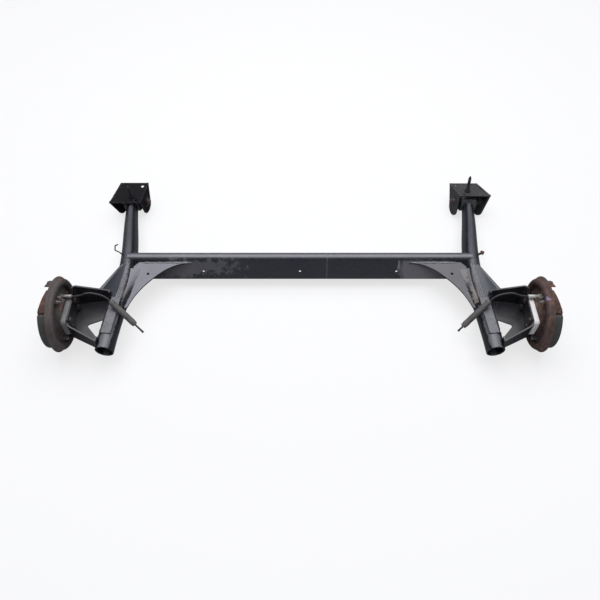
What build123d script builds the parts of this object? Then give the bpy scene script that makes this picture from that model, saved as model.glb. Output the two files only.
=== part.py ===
from build123d import *
import os
from math import atan2, cos, degrees, pi, radians, sin, tan

# A twist beam rear axle, as it comes off a small car: two swaged tube arms joined by an
# inverted V beam, with rubber bushed mounting brackets in front and drum brakes, drums
# off, at the wheel ends. Millimetres. +X is the right-hand side, +Y the front of the car.
# The right-hand pieces are drawn, and the left-hand ones are their mirror images.
# Every piece is drawn from the wheel axis, and set_out moves it to the middle of the
# footprint on the floor.

os.makedirs("parts", exist_ok=True)

# Overall places
backing_radius = 115.0        # the brake backing plates stand on the floor
footprint_middle = 236.9     # from the wheel axis forward to the middle of the footprint
hub_plate_outer_x = 702.0     # outer face of each hub plate
arm_inset = 140.0             # from there in to the waist of the arm
pivot_outset = 38.0           # from the waist of the arm out to the middle of the front bush
pivot_y = 530.0
pivot_z = 52.0
fit_gap = 0.3                 # between parts that only lie beside each other
weld_gap = 0.1                # root gap of the welded joints

# Trailing arm tube: fore and aft place, outset from its waist, height, width and depth
arm_stations = [
    (498.0, 36.0, 53.0, 40.0, 48.0),
    (455.0, 31.0, 55.0, 43.0, 51.0),
    (355.0, 16.0, 66.0, 50.0, 54.0),
    (235.0, 0.0, 80.0, 54.0, 56.0),
    (75.0, 2.0, 86.0, 56.0, 56.0),
    (-5.0, 9.0, 88.0, 56.0, 56.0),
    (-112.0, 18.0, 85.0, 56.0, 56.0),
]
arm_wall = 4.0
land_width = 31.0             # pressed flat land on top of the rear of the arm
land_front_y = 62.0
land_rear_y = -70.0
land_rise = 32.0              # from the tube's centre line to the top of the land
land_corner = 3.0
land_bevel = 1.5

# Cross beam: an inverted V of pressed sheet
beam_apex_y = 233.0
beam_top_z = 113.0
beam_foot_z = 41.0
beam_half_angle = 24.0
beam_sheet = 6.0
beam_bend_radius = 18.0
beam_end_inset = 2.0          # from the waist of the arm in to the end of the beam
beam_hole_x = 316.0
beam_hole_z = 66.0
beam_hole_radius = 4.0

# Gusset between beam and arm
gusset_top_z = 98.0
gusset_sheet = 5.0
gusset_hole_radius = 4.5
# Outlines seen from above: outset from the waist of the arm, and place forward of the wheel axis
gusset_free_edge = [(-208, 211), (-145, 194.5), (-96, 153), (-62, 110), (-29, 38)]
gusset_tip = [(-17, 33), (4, 33)]
gusset_back = [(4, 240), (-212, 240)]
gusset_relief = [(-42, 240), (-42, 216), (-14, 184), (18, 184), (18, 240)]
gusset_holes = [(-75, 167), (-32, 93)]

# Hub bracket: a deep pressed tray between the arm and the hub plate
tray_floor_z = 85.0
tray_sheet = 4.5
tray_front_y = 62.0
tray_rear_y = -58.0
tray_corner = 14.0
tray_front_top = 176.0        # top of the front wall at the hub plate
tray_arm_top = 138.0          # top of the front wall at the arm
tray_side_top = 152.0         # top of the wall that carries the hub plate
tray_back_top = 143.0         # top of the rear wall at the hub plate
tray_tail_top = 125.0         # top of the rear wall at the arm
tray_arm_outset = 20.0        # the tray starts this far out from the waist of the arm
tray_arm_rise_outset = 28.0
tray_tail_outset = 36.0
tray_open_outset = 58.0       # and it is open towards the arm up to here
tray_front_sweep = 15.0       # the front wall runs forward by this towards the arm
tray_rear_sweep = 45.0        # and the rear wall backward
tray_open_front = 5.0         # how far forward of the front wall the opening at the arm reaches
tray_open_rear = (20.0, 38.0)   # and behind the rear wall, at its outer and inner ends
tray_tail_flat_outset = 38.0    # the rear wall's top is level from the arm up to here
tray_front_zone = 30.0        # the front wall's slope reaches back this far
tray_cut_margin = 12.0
tray_shoulder_front = 8.0     # where the wall tops drop at the front corner
tray_shoulder_rear = 22.0
tray_wall_drop = 8.0          # the walls are lower by this where they meet the arm
tray_window = [(30, 6), (88, -20), (42, -73)]
tray_window_corner = 6.0
hub_plate_thickness = 14.0
hub_plate_front_y = 50.0
hub_plate_rear_y = -57.0
hub_plate_bottom = -30.0      # heights of the hub plate, from the wheel axis
hub_plate_rear_top = 39.0
hub_plate_front_top = 34.0
hub_plate_corner = 10.0
hub_bolt_half_y = 36.0
hub_bolt_upper_z = 21.0
hub_bolt_lower_z = -13.0
hub_bolt_radius = 5.0
hub_bolt_across_flats = 16.0
hub_bolt_head = 6.5

# Brace along the front of the hub bracket
brace_sheet = 4.0
brace_ridge_z = 112.0
brace_start = (4.0, 192.0)    # outset from the waist of the arm, and place forward
brace_run = (48.0, -88.0)
brace_length = 140.0
brace_weld_line = [(-1.0, 215.0), (26.0, 76.0)]
brace_reach = 62.0            # how far the sheet is drawn towards the arm before it is coped
# Outset from the ridge line, and height over the ridge
brace_profile = [(-60.0, -9.0), (-9.0, -6.0), (-3.0, 0.0), (6.0, 0.0), (18.0, -14.0), (21.0, -46.0)]
brace_bend_radius = 3.5
brace_lap_forward = 6.0       # past the tray's front wall, at its arm end
brace_lap_back = 2.0          # and short of it, at its hub plate end

# Front bush and mounting bracket, drawn from the pivot
bush_outer_radius = 33.0
bush_housing_wall = 3.5
bush_length = 52.0
bush_rubber_proud = 2.0
bush_sleeve_radius = 10.0
bush_rubber_gap = 0.05
bush_void_radius = 19.0
bush_void_length = 26.0
bush_void_width = 7.0
bush_edge = 0.8
pivot_bolt_radius = 6.0
pivot_bolt_gap = 0.1
pivot_bolt_across_flats = 18.0
pivot_bolt_head = 8.0
pivot_bolt_edge = 1.0
pivot_nut_height = 10.0
pivot_bolt_end = 3.0
bracket_sheet = 5.0
bracket_inside = 68.0         # between the two seats that hold the bush sleeve
bracket_top_z = 46.0          # top face of the top plate, above the pivot
bracket_rear_y = -36.0
bracket_front_y = 48.0
bracket_inner_rear_x = -39.0
bracket_inner_front_x = -60.0
bracket_wing_x = 70.0
bracket_wing_edge = 6.0       # straight outer edge of the wing
bracket_wing_middle = (50.0, -6.0)
bracket_outer_front_x = 38.0
bracket_seat_radius = 15.0
bracket_inner_seat_x = -53.0
bracket_outer_seat_x = 54.0
bracket_foot_radius = 28.0
bracket_foot_y = -2.0
bracket_foot_z = -24.0
bracket_foot_x = {"inner": -47.5, "outer": 46.0}
bracket_pitch = {"right": -14.0, "left": 11.0}
body_hole_radius = 5.5
body_hole_places = [(-40.0, 34.0), (-22.0, -25.0)]
stud_place = (-8.0, -10.0)
stud_radius = 5.0
stud_height = 62.0
stud_collar_radius = 10.0
stud_collar_height = 16.0
stud_collar_step = 3.0
stud_tip = 9.0

# Brakes, drawn from the wheel axis
backing_sheet = 2.0
platform_step = 20.0          # from the hub plate out to the flat part that carries the shoes
backing_groove = 7.0          # the drum groove bulges inboard by this
backing_lip = 5.0             # the rim stands outboard of the platform by this
hub_opening_radius = 22.0
boss_radius = 51.0
boss_slope = 6.0
groove_inner_radius = 88.0
groove_outer_radius = 106.0
groove_slope = 6.0
backing_bend_radius = 3.0
shoe_radius = 101.5
lining_thickness = 4.5
table_thickness = 2.5
shoe_width = 29.0
web_thickness = 4.5
lining_half_arc = 55.0
table_half_arc = 66.0
shoe_tip_top = 84.0           # heights of the ends of the web, over and under the wheel axis
shoe_tip_bottom = 67.0
shoe_heel_top = -66.0
shoe_heel_bottom = -82.0
anchor_half_width = 12.0
anchor_z = -74.0
anchor_height = 20.0
anchor_corner = 1.5
keeper_overlap = 9.0
keeper_height = 16.0
keeper_corner = 4.0
keeper_sheet = 3.0
keeper_clearance = 1.0
cylinder_z = 76.0
cylinder_radius = 12.5
cylinder_half_length = 18.0
cylinder_foot_margin = 3.0    # the foot is larger than the spigot hole by this all round
cylinder_foot_corner = 4.0
boot_radius = 10.0
# Steps of a rubber boot: share of its radius and distance from the cylinder
boot_steps = [(1.0, 0.0), (1.0, 1.75), (0.8, 2.5), (0.9, 3.75), (0.6, 5.0)]
spigot_radius = 8.0
spigot_width = 30.0
spigot_reach = 6.0
register_radius = 17.5
spindle_flange_radius = 46.0
spindle_flange_thickness = 9.0
spindle_radius = 16.0
spindle_length = 83.0         # from the hub plate out to the end of the thread
spindle_shoulder = 5.0
spindle_step = 3.0            # the spindle steps down by this at each bearing seat
spindle_seats = (9.0, 32.0, 52.0)
spindle_edge = 1.5
register_length = 8.0
hold_down_y = 82.0
hold_down_hole_radius = 5.5
hold_down_radius = 2.0
hold_down_head_radius = 4.0
hold_down_head = 2.0
hold_down_spring_radius = 6.5
hold_down_spring_length = 9.0
hold_down_cup_radius = 9.0
hold_down_cup = 2.0
web_inner_y = 64.0
lining_taper = 3.0
bleed_half_spacing = 8.0
bleed_reach = 22.0            # from the platform in to the ends of the fittings
bleed_hexagon = 8.0
bleed_radius = 3.0
bleed_apothem = 4.0
inlet_apothem = 5.5
plug_place = (-49.0, -58.0)
plug_radius = 6.5
plug_reach = 15.0
plug_edge = 1.5
spring_wire_radius = 1.0
spring_outset = 9.0           # from the middle of the webs out to the spring's axis
spring_hook_depth = 2.0
spring_hook_radius = 3.0
spring_root_radius = 3.2
spring_crown_radius = 4.5
spring_overlap = 1.0
upper_spring_z = 56.0
lower_spring_z = -58.0
spring_hole_y = 40.0
spring_hole_margin = 1.0
# Height, half length and number of turns of each return spring
spring_coils = ((upper_spring_z, 22.0, 11), (lower_spring_z, 18.0, 9))
strut_z = 40.0
strut_slot_y = 56.0
strut_slot_depth = 40.0
strut_half_height = 4.0
strut_play = 1.5
strut_blade = 14.0
strut_blade_width = 12.0
strut_margin = 0.5
strut_wheel_y = 14.0
strut_wheel_radius = 9.0
strut_wheel_width = 5.0

# Handbrake cable, as a route from the ferrule over the tray and the arm. Its places are
# outsets from the waist of the arm, places forward of the wheel axis and heights
cable_radius = 3.5
ferrule_y = 34.0
ferrule_z = 160.0             # above the floor
ferrule_reach = 38.0          # inboard of the backing plate
ferrule_radius = 6.0
ferrule_collar_radius = 8.0
ferrule_collar_reach = 8.0
ferrule_outer_reach = 3.0
sleeve_radius = 8.5
sleeve_body_radius = 7.0
sleeve_band = 10.0            # width of the three thicker bands
sleeve_start = (11.0, 29.0, 143.0)
sleeve_end = (-61.0, -20.0, 86.0)
wire_radius = 1.5
wire_length = 22.0
nipple_radius = 4.0
nipple_length = 9.0
cable_lead = 18.0              # straight stretch before the sleeve
cable_crest = [(78.0, 41.5, 168.0), (50.0, 41.0, 163.5)]
cable_first_run = 20.0

# Small parts on the arms
hook_route = [(18, 243, 99), (26, 247, 108), (42, 253, 112), (40, 262, 124), (30, 262, 130)]
hook_radius = 2.0
hook_bend = 4.0
clip_place = (14.0, 246.0, 92.0)
clip_aim = (0.86, 0.15, 0.5)
clip_radius = 4.0
clip_length = 30.0
clip_nut_start = 20.0
clip_nut_height = 6.0
clip_nut_across_flats = 13.0

# Worked out from the sizes above
wheel_z = backing_radius
arm_x = hub_plate_outer_x - arm_inset
pivot_x = arm_x + pivot_outset
beam_end_x = arm_x - beam_end_inset
backing_platform_x = hub_plate_outer_x + platform_step
web_x = backing_platform_x + backing_sheet + fit_gap + shoe_width / 2
shoe_tip_y = cylinder_half_length + boot_steps[-1][1] + fit_gap
ferrule_inner_x = backing_platform_x - ferrule_reach
hub_plate_inner_x = hub_plate_outer_x - hub_plate_thickness
table_radius = shoe_radius - lining_thickness
web_radius = table_radius - table_thickness
hub_bolt_places = [
    (y, z)
    for y in (-hub_bolt_half_y, hub_bolt_half_y)
    for z in (hub_bolt_lower_z, hub_bolt_upper_z)
]
set_out = Location((0, -footprint_middle, 0))


def by_arm(point):
    """A place given from the waist of the arm, moved out to that arm."""
    return (point[0] + arm_x, *point[1:])


def all_by_arm(points):
    """Places given from the waist of the arm, moved out to that arm."""
    return [by_arm(point) for point in points]


sleeve_from = Vector(*by_arm(sleeve_start))
sleeve_run = Vector(*by_arm(sleeve_end)) - sleeve_from
cable_route = [
    Vector(ferrule_inner_x, ferrule_y, ferrule_z),
    Vector(ferrule_inner_x - cable_first_run, ferrule_y, ferrule_z),
    *[Vector(*point) for point in all_by_arm(cable_crest)],
    sleeve_from - sleeve_run.normalized() * cable_lead,
    sleeve_from,
]


def save(part, name):
    """Move a finished piece to the shared frame, label it and write its file."""
    placed = part.moved(set_out)
    placed.label = name
    export_step(placed, f"parts/{name}.step")


def save_pair(part, name):
    """Write a right-hand piece and its mirror image."""
    save(part, f"{name}_right")
    save(mirror(part, about=Plane.YZ), f"{name}_left")


def wheel_plane(x):
    """The plane across the wheel axis at one distance from the middle of the car."""
    return Plane(origin=(x, 0, wheel_z), x_dir=(0, 1, 0), z_dir=(1, 0, 0))


def polar(radius, angle):
    """A point of a wheel plane, by its angle from the front."""
    return (radius * cos(radians(angle)), radius * sin(radians(angle)))


# Trailing arm
def arm_form(growth):
    """The arm's tube, swaged oval at the front, grown by a margin."""
    with BuildPart() as form:
        for index, (y, outset, z, width, depth) in enumerate(arm_stations):
            before = arm_stations[max(index - 1, 0)]
            after = arm_stations[min(index + 1, len(arm_stations) - 1)]
            along = (after[1] - before[1], after[0] - before[0], after[2] - before[2])
            middle = (arm_x + outset, y, z)
            with BuildSketch(Plane(origin=middle, x_dir=(1, 0, 0), z_dir=along)):
                Ellipse(width / 2 + growth, depth / 2 + growth)
        loft()
    return form.part


arm_outside = arm_form(weld_gap)
land_station = arm_stations[-2]
tail_station = arm_stations[-1]
land_turn = degrees(atan2(tail_station[1] - land_station[1], land_station[0] - tail_station[0]))

with BuildPart() as bush_space:
    with BuildSketch(Plane.YZ.offset(pivot_x)):
        with Locations((pivot_y, pivot_z)):
            Circle(bush_outer_radius + weld_gap)
    extrude(amount=bush_length, both=True)

with BuildPart() as arm_land:
    with BuildSketch(Plane.XY.offset(land_station[2] + land_rise)):
        with Locations(Location((arm_x + land_station[1], land_station[0], 0), (0, 0, land_turn))):
            with Locations((0, (land_rear_y + land_front_y) / 2 - land_station[0])):
                RectangleRounded(land_width, land_front_y - land_rear_y, land_corner)
    extrude(amount=-land_rise / 2)
    chamfer(arm_land.faces().sort_by(Axis.Z)[-1].edges(), land_bevel)

with BuildPart() as trailing_arm:
    add(arm_form(0))
    add(arm_land.part)
    add(arm_form(-arm_wall), mode=Mode.SUBTRACT)
    add(bush_space.part, mode=Mode.SUBTRACT)

save_pair(trailing_arm.part, "trailing_arm")


# Front bush: housing welded across the arm, bonded rubber and inner sleeve
def across_pivot(x):
    """The plane across the pivot at one distance from the middle of the car."""
    return Plane(origin=(x, pivot_y, pivot_z), x_dir=(0, 1, 0), z_dir=(1, 0, 0))


bush_inner_radius = bush_outer_radius - bush_housing_wall
bush_rubber_half = bush_length / 2 + bush_rubber_proud

with BuildPart() as bush_housing:
    with BuildSketch(across_pivot(pivot_x)):
        Circle(bush_outer_radius)
        Circle(bush_inner_radius, mode=Mode.SUBTRACT)
    extrude(amount=bush_length / 2, both=True)
    chamfer(bush_housing.edges().filter_by(GeomType.CIRCLE), bush_edge)

save_pair(bush_housing.part, "bush_housing")

with BuildPart() as bush_rubber:
    with BuildSketch(across_pivot(pivot_x)):
        Circle(bush_inner_radius)
        Circle(bush_sleeve_radius + bush_rubber_gap, mode=Mode.SUBTRACT)
    extrude(amount=bush_rubber_half, both=True)
    with BuildSketch(across_pivot(pivot_x)):
        with PolarLocations(bush_void_radius, 2):
            SlotOverall(bush_void_length, bush_void_width, rotation=90)
    extrude(amount=bush_length, both=True, mode=Mode.SUBTRACT)

save_pair(bush_rubber.part, "bush_rubber")

with BuildPart() as bush_sleeve:
    with BuildSketch(across_pivot(pivot_x)):
        Circle(bush_sleeve_radius)
        Circle(pivot_bolt_radius + pivot_bolt_gap, mode=Mode.SUBTRACT)
    extrude(amount=bracket_inside / 2, both=True)

save_pair(bush_sleeve.part, "bush_sleeve")


# Mounting bracket, drawn level about its own pivot and then pitched
def bracket_wall(rear_top, front_top, foot, outward):
    """One side wall: a plate from the top plate down to a rounded foot."""
    start = Vector(*rear_top)
    run = Vector(*front_top) - start
    drop = Vector(*foot) - start
    face = Plane(origin=start, x_dir=run, z_dir=run.cross(drop) * outward)
    corner = face.to_local_coords(Vector(*front_top))
    middle = face.to_local_coords(Vector(*foot))
    with BuildPart() as wall:
        with BuildSketch(face):
            with BuildLine():
                Polyline(
                    (0, 0),
                    (corner.X, 0),
                    (middle.X + bracket_foot_radius, middle.Y),
                    (middle.X - bracket_foot_radius, middle.Y),
                    close=True,
                )
            make_face()
            with Locations((middle.X, middle.Y)):
                Circle(bracket_foot_radius)
        extrude(amount=-bracket_sheet)
    return wall.part


inner_wall = bracket_wall(
    (bracket_inner_rear_x, bracket_rear_y, bracket_top_z),
    (bracket_inner_front_x, bracket_front_y, bracket_top_z),
    (bracket_foot_x["inner"], bracket_foot_y, bracket_foot_z),
    1,
)
outer_wall = bracket_wall(
    (bracket_wing_x, bracket_rear_y, bracket_top_z),
    (bracket_outer_front_x, bracket_front_y, bracket_top_z),
    (bracket_foot_x["outer"], bracket_foot_y, bracket_foot_z),
    -1,
)

with BuildPart() as mounting_bracket:
    with BuildSketch(Plane.XY.offset(bracket_top_z)):
        with BuildLine():
            Polyline(
                (bracket_outer_front_x, bracket_front_y),
                (bracket_inner_front_x, bracket_front_y),
                (bracket_inner_rear_x, bracket_rear_y),
                (bracket_wing_x, bracket_rear_y),
                (bracket_wing_x, bracket_rear_y + bracket_wing_edge),
            )
            ThreePointArc(
                (bracket_wing_x, bracket_rear_y + bracket_wing_edge),
                bracket_wing_middle,
                (bracket_outer_front_x, bracket_front_y),
            )
        make_face()
    extrude(amount=-bracket_sheet)
    add(inner_wall)
    add(outer_wall)
    # Pressed seats round the pivot bolt
    for seat_start, seat_end in (
        (bracket_inner_seat_x, -bracket_inside / 2),
        (bracket_inside / 2, bracket_outer_seat_x),
    ):
        with BuildSketch(Plane.YZ.offset(seat_start)):
            Circle(bracket_seat_radius)
        extrude(amount=seat_end - seat_start)
    with BuildSketch(Plane.YZ):
        Circle(pivot_bolt_radius + pivot_bolt_gap)
    extrude(amount=2 * bracket_wing_x, both=True, mode=Mode.SUBTRACT)
    with BuildSketch(Plane.XY.offset(bracket_top_z)):
        with Locations(*body_hole_places):
            Circle(body_hole_radius)
    extrude(amount=-bracket_sheet, mode=Mode.SUBTRACT)

with BuildPart() as body_stud:
    with BuildSketch(Plane.XZ):
        with BuildLine():
            Polyline(
                (0, 0),
                (stud_collar_radius, 0),
                (stud_collar_radius, stud_collar_step),
                (stud_radius, stud_collar_height),
                (stud_radius, stud_height - stud_tip),
                (stud_radius / 3, stud_height),
                (0, stud_height),
                close=True,
            )
        make_face()
    revolve(axis=Axis.Z)

with BuildPart() as pivot_bolt:
    with BuildSketch(Plane.YZ.offset(bracket_inner_seat_x)):
        RegularPolygon(pivot_bolt_across_flats / 2, 6, major_radius=False)
    extrude(amount=-pivot_bolt_head)
    chamfer(pivot_bolt.faces().sort_by(Axis.X)[0].edges(), pivot_bolt_edge)
    with BuildSketch(Plane.YZ.offset(bracket_inner_seat_x)):
        Circle(pivot_bolt_radius)
    extrude(amount=bracket_outer_seat_x - bracket_inner_seat_x + pivot_nut_height + pivot_bolt_end)

with BuildPart() as pivot_nut:
    with BuildSketch(Plane.YZ.offset(bracket_outer_seat_x)):
        RegularPolygon(pivot_bolt_across_flats / 2, 6, major_radius=False)
        Circle(pivot_bolt_radius + pivot_bolt_gap / 2, mode=Mode.SUBTRACT)
    extrude(amount=pivot_nut_height)

stud_seat = Location((stud_place[0], stud_place[1], bracket_top_z))
bracket_pieces = {
    "mounting_bracket": mounting_bracket.part,
    "body_stud": body_stud.part.moved(stud_seat),
    "pivot_bolt": pivot_bolt.part,
    "pivot_nut": pivot_nut.part,
}
for side, sign in (("right", 1), ("left", -1)):
    seat = Location((sign * pivot_x, pivot_y, pivot_z), (bracket_pitch[side], 0, 0))
    for name, piece in bracket_pieces.items():
        drawn = piece if side == "right" else mirror(piece, about=Plane.YZ)
        save(drawn.moved(seat), f"{name}_{side}")


# Cross beam: an inverted V, coped over both arms
beam_rise = 1 / sin(radians(beam_half_angle))
beam_peak_z = beam_top_z + beam_bend_radius * (beam_rise - 1)


def beam_half_width(z, inset=0):
    """Half the width of the V at one height, at its outer face or inside it."""
    return (beam_peak_z - inset * beam_rise - z) * tan(radians(beam_half_angle))


def beam_outline(inset):
    """The beam's outer line, or a line inside it, from the rear foot to the front foot."""
    foot = beam_half_width(beam_foot_z, inset)
    return FilletPolyline(
        (beam_apex_y - foot, beam_foot_z),
        (beam_apex_y, beam_peak_z - inset * beam_rise),
        (beam_apex_y + foot, beam_foot_z),
        radius=beam_bend_radius - inset,
    )


with BuildPart() as beam_outside:
    with BuildSketch(Plane.YZ.offset(-beam_end_x)):
        with BuildLine():
            wedge = beam_outline(-weld_gap)
            Line(wedge @ 1, wedge @ 0)
        make_face()
    extrude(amount=2 * beam_end_x + beam_sheet)

beam_hole_plane = Plane(
    origin=(0, beam_apex_y - beam_half_width(beam_hole_z), beam_hole_z),
    x_dir=(1, 0, 0),
    z_dir=(0, -cos(radians(beam_half_angle)), sin(radians(beam_half_angle))),
)

with BuildPart() as crossbeam:
    with BuildSketch(Plane.YZ.offset(-beam_end_x)):
        with BuildLine():
            outer_line = beam_outline(0)
            inner_line = beam_outline(beam_sheet)
            Line(outer_line @ 0, inner_line @ 0)
            Line(outer_line @ 1, inner_line @ 1)
        make_face()
    extrude(amount=2 * beam_end_x)
    with BuildSketch(beam_hole_plane):
        with GridLocations(beam_hole_x, 0, 3, 1):
            Circle(beam_hole_radius)
    extrude(amount=-2 * beam_sheet, mode=Mode.SUBTRACT)
    add(arm_outside, mode=Mode.SUBTRACT)
    add(mirror(arm_outside, about=Plane.YZ, mode=Mode.PRIVATE), mode=Mode.SUBTRACT)

save(crossbeam.part, "crossbeam")


# Gusset: a flat sheet across the corner of beam and arm, as seen from above
with BuildPart() as gusset:
    with BuildSketch(Plane.XY.offset(gusset_top_z)):
        with BuildLine():
            free_edge = Spline(*all_by_arm(gusset_free_edge))
            Polyline(free_edge @ 1, *all_by_arm(gusset_tip + gusset_back), free_edge @ 0)
        make_face()
        with BuildLine():
            Polyline(*all_by_arm(gusset_relief), close=True)
        make_face(mode=Mode.SUBTRACT)
        with Locations(*all_by_arm(gusset_holes)):
            Circle(gusset_hole_radius, mode=Mode.SUBTRACT)
    extrude(amount=-gusset_sheet)
    add(beam_outside.part, mode=Mode.SUBTRACT)
    add(arm_outside, mode=Mode.SUBTRACT)

save_pair(gusset.part, "gusset")


# Hub bracket: a pressed tray with sloping walls and a three cornered window
tray_arm_x = arm_x + tray_arm_outset
tray_tail_x = arm_x + tray_tail_outset
tray_open_x = arm_x + tray_open_outset
tray_plan = [
    (tray_arm_x, tray_front_y + tray_front_sweep),
    (hub_plate_inner_x, tray_front_y),
    (hub_plate_inner_x, tray_rear_y),
    (tray_tail_x, tray_rear_y - tray_rear_sweep),
]
tray_bottom_z = tray_floor_z - tray_sheet
above_tray = tray_front_top + tray_sheet
wall_corner_x = hub_plate_inner_x - tray_corner

with BuildPart() as hub_bracket:
    with BuildSketch(Plane.XY.offset(tray_bottom_z)) as tray_base:
        with BuildLine():
            Polyline(*tray_plan, close=True)
        make_face()
        fillet(tray_base.vertices().group_by(Axis.X)[-1], tray_corner)
    extrude(amount=above_tray - tray_bottom_z)
    with BuildSketch(Plane.XY.offset(tray_floor_z)):
        add(tray_base.sketch.faces())
        offset(amount=-tray_sheet, mode=Mode.REPLACE)
        with BuildLine():
            Polyline(
                (beam_end_x, tray_front_y + tray_open_front),
                (tray_open_x, tray_front_y + tray_open_front),
                (tray_open_x, tray_rear_y - tray_open_rear[0]),
                (beam_end_x, tray_rear_y - tray_open_rear[1]),
                close=True,
            )
        make_face()
    extrude(amount=above_tray, mode=Mode.SUBTRACT)
    # Tops of the front wall, of the wall behind the hub plate and of the rear wall
    with BuildSketch(Plane.XZ.offset(-tray_front_y - tray_rear_sweep)):
        with BuildLine():
            Polyline(
                (tray_arm_x, tray_arm_top - tray_wall_drop / 2),
                (arm_x + tray_arm_rise_outset, tray_arm_top),
                (wall_corner_x, tray_front_top),
                (hub_plate_inner_x, tray_front_top),
                (hub_plate_inner_x, above_tray),
                (tray_arm_x, above_tray),
                close=True,
            )
        make_face()
    extrude(amount=tray_front_zone + tray_rear_sweep, mode=Mode.SUBTRACT)
    with BuildSketch(Plane.YZ.offset(arm_x)):
        with BuildLine():
            Polyline(
                (tray_front_y - tray_shoulder_front, above_tray),
                (tray_front_y - tray_shoulder_front, tray_front_top),
                (tray_front_y - tray_shoulder_rear, tray_side_top),
                (tray_rear_y - 2 * tray_rear_sweep, tray_side_top),
                (tray_rear_y - 2 * tray_rear_sweep, above_tray),
                close=True,
            )
        make_face()
    extrude(amount=hub_plate_inner_x - arm_x, mode=Mode.SUBTRACT)
    with BuildSketch(Plane.XZ.offset(-tray_rear_y - tray_cut_margin)):
        with BuildLine():
            Polyline(
                (beam_end_x, tray_tail_top - tray_wall_drop),
                (arm_x + tray_tail_flat_outset, tray_tail_top),
                (hub_plate_inner_x, tray_back_top),
                (hub_plate_inner_x, above_tray),
                (beam_end_x, above_tray),
                close=True,
            )
        make_face()
    extrude(amount=2 * tray_rear_sweep, mode=Mode.SUBTRACT)
    with BuildSketch(Plane.XY.offset(tray_bottom_z)) as window:
        with BuildLine():
            Polyline(*all_by_arm(tray_window), close=True)
        make_face()
        fillet(window.vertices(), tray_window_corner)
    extrude(amount=tray_sheet, mode=Mode.SUBTRACT)
    with BuildSketch(wheel_plane(hub_plate_inner_x)):
        with Locations(*hub_bolt_places):
            Circle(hub_bolt_radius + fit_gap)
    extrude(amount=-tray_sheet, mode=Mode.SUBTRACT)
    add(arm_outside, mode=Mode.SUBTRACT)

save_pair(hub_bracket.part, "hub_bracket")


# Hub plate, and the bolts that hold it, the tray, the backing plate and the stub axle
with BuildPart() as hub_plate:
    with BuildSketch(wheel_plane(hub_plate_inner_x)) as hub_outline:
        with BuildLine():
            Polyline(
                (hub_plate_rear_y, hub_plate_bottom),
                (hub_plate_rear_y, hub_plate_rear_top),
                (hub_plate_front_y, hub_plate_front_top),
                (hub_plate_front_y, hub_plate_bottom),
                close=True,
            )
        make_face()
        fillet(hub_outline.vertices(), hub_plate_corner)
        Circle(register_radius + fit_gap, mode=Mode.SUBTRACT)
        with Locations(*hub_bolt_places):
            Circle(hub_bolt_radius + weld_gap, mode=Mode.SUBTRACT)
    extrude(amount=hub_plate_thickness)

save_pair(hub_plate.part, "hub_plate")

spindle_flange_x = hub_plate_outer_x + backing_sheet
hub_bolt_seat_x = hub_plate_inner_x - tray_sheet
hub_bolt_end_x = spindle_flange_x + spindle_flange_thickness

with BuildPart() as hub_bolts:
    with BuildSketch(wheel_plane(hub_bolt_seat_x)):
        with Locations(*hub_bolt_places):
            RegularPolygon(hub_bolt_across_flats / 2, 6, major_radius=False)
    extrude(amount=-hub_bolt_head)
    with BuildSketch(wheel_plane(hub_bolt_seat_x)):
        with Locations(*hub_bolt_places):
            Circle(hub_bolt_radius)
    extrude(amount=hub_bolt_end_x - hub_bolt_seat_x)
    mirror(about=Plane.YZ)

save(hub_bolts.part, "hub_bolts")


# Brace: a pressed ridge from the top of the arm to the front wall of the tray
brace_line = Vector(*brace_run).normalized()
brace_plane = Plane(
    origin=(*by_arm(brace_start), 0),
    x_dir=(-brace_line.Y, brace_line.X, 0),
    z_dir=(brace_line.X, brace_line.Y, 0),
)
brace_arm_points = all_by_arm(brace_weld_line)

with BuildPart() as brace:
    with BuildSketch(brace_plane):
        with BuildLine():
            ridge = FilletPolyline(
                *[(across, brace_ridge_z + rise) for across, rise in brace_profile],
                radius=brace_bend_radius,
            )
            offset(ridge, amount=brace_sheet, side=Side.RIGHT)
        make_face()
    extrude(amount=brace_length)
    with BuildSketch(Plane.XY.offset(brace_ridge_z + brace_sheet)):
        with BuildLine():
            Polyline(
                *brace_arm_points,
                (arm_x - brace_reach, brace_arm_points[1][1]),
                (arm_x - brace_reach, brace_arm_points[0][1]),
                close=True,
            )
        make_face()
        with BuildLine():
            Polyline(
                (arm_x - tray_arm_outset, tray_plan[0][1] + brace_lap_forward),
                tray_plan[0],
                tray_plan[1],
                (hub_plate_outer_x, tray_front_y - brace_lap_back),
                (hub_plate_outer_x, tray_rear_y),
                (arm_x - tray_arm_outset, tray_rear_y),
                close=True,
            )
        make_face()
    extrude(amount=-brace_ridge_z, mode=Mode.SUBTRACT)
    add(arm_outside, mode=Mode.SUBTRACT)

save_pair(brace.part, "brace")


# Backing plate: a dished disc with a groove for the edge of the drum
backing_profile = [
    (hub_plate_outer_x, hub_opening_radius),
    (hub_plate_outer_x, boss_radius),
    (backing_platform_x, boss_radius + boss_slope),
    (backing_platform_x, groove_inner_radius),
    (backing_platform_x - backing_groove, groove_inner_radius + groove_slope),
    (backing_platform_x - backing_groove, groove_outer_radius),
    (backing_platform_x + backing_lip, backing_radius),
]

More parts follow.
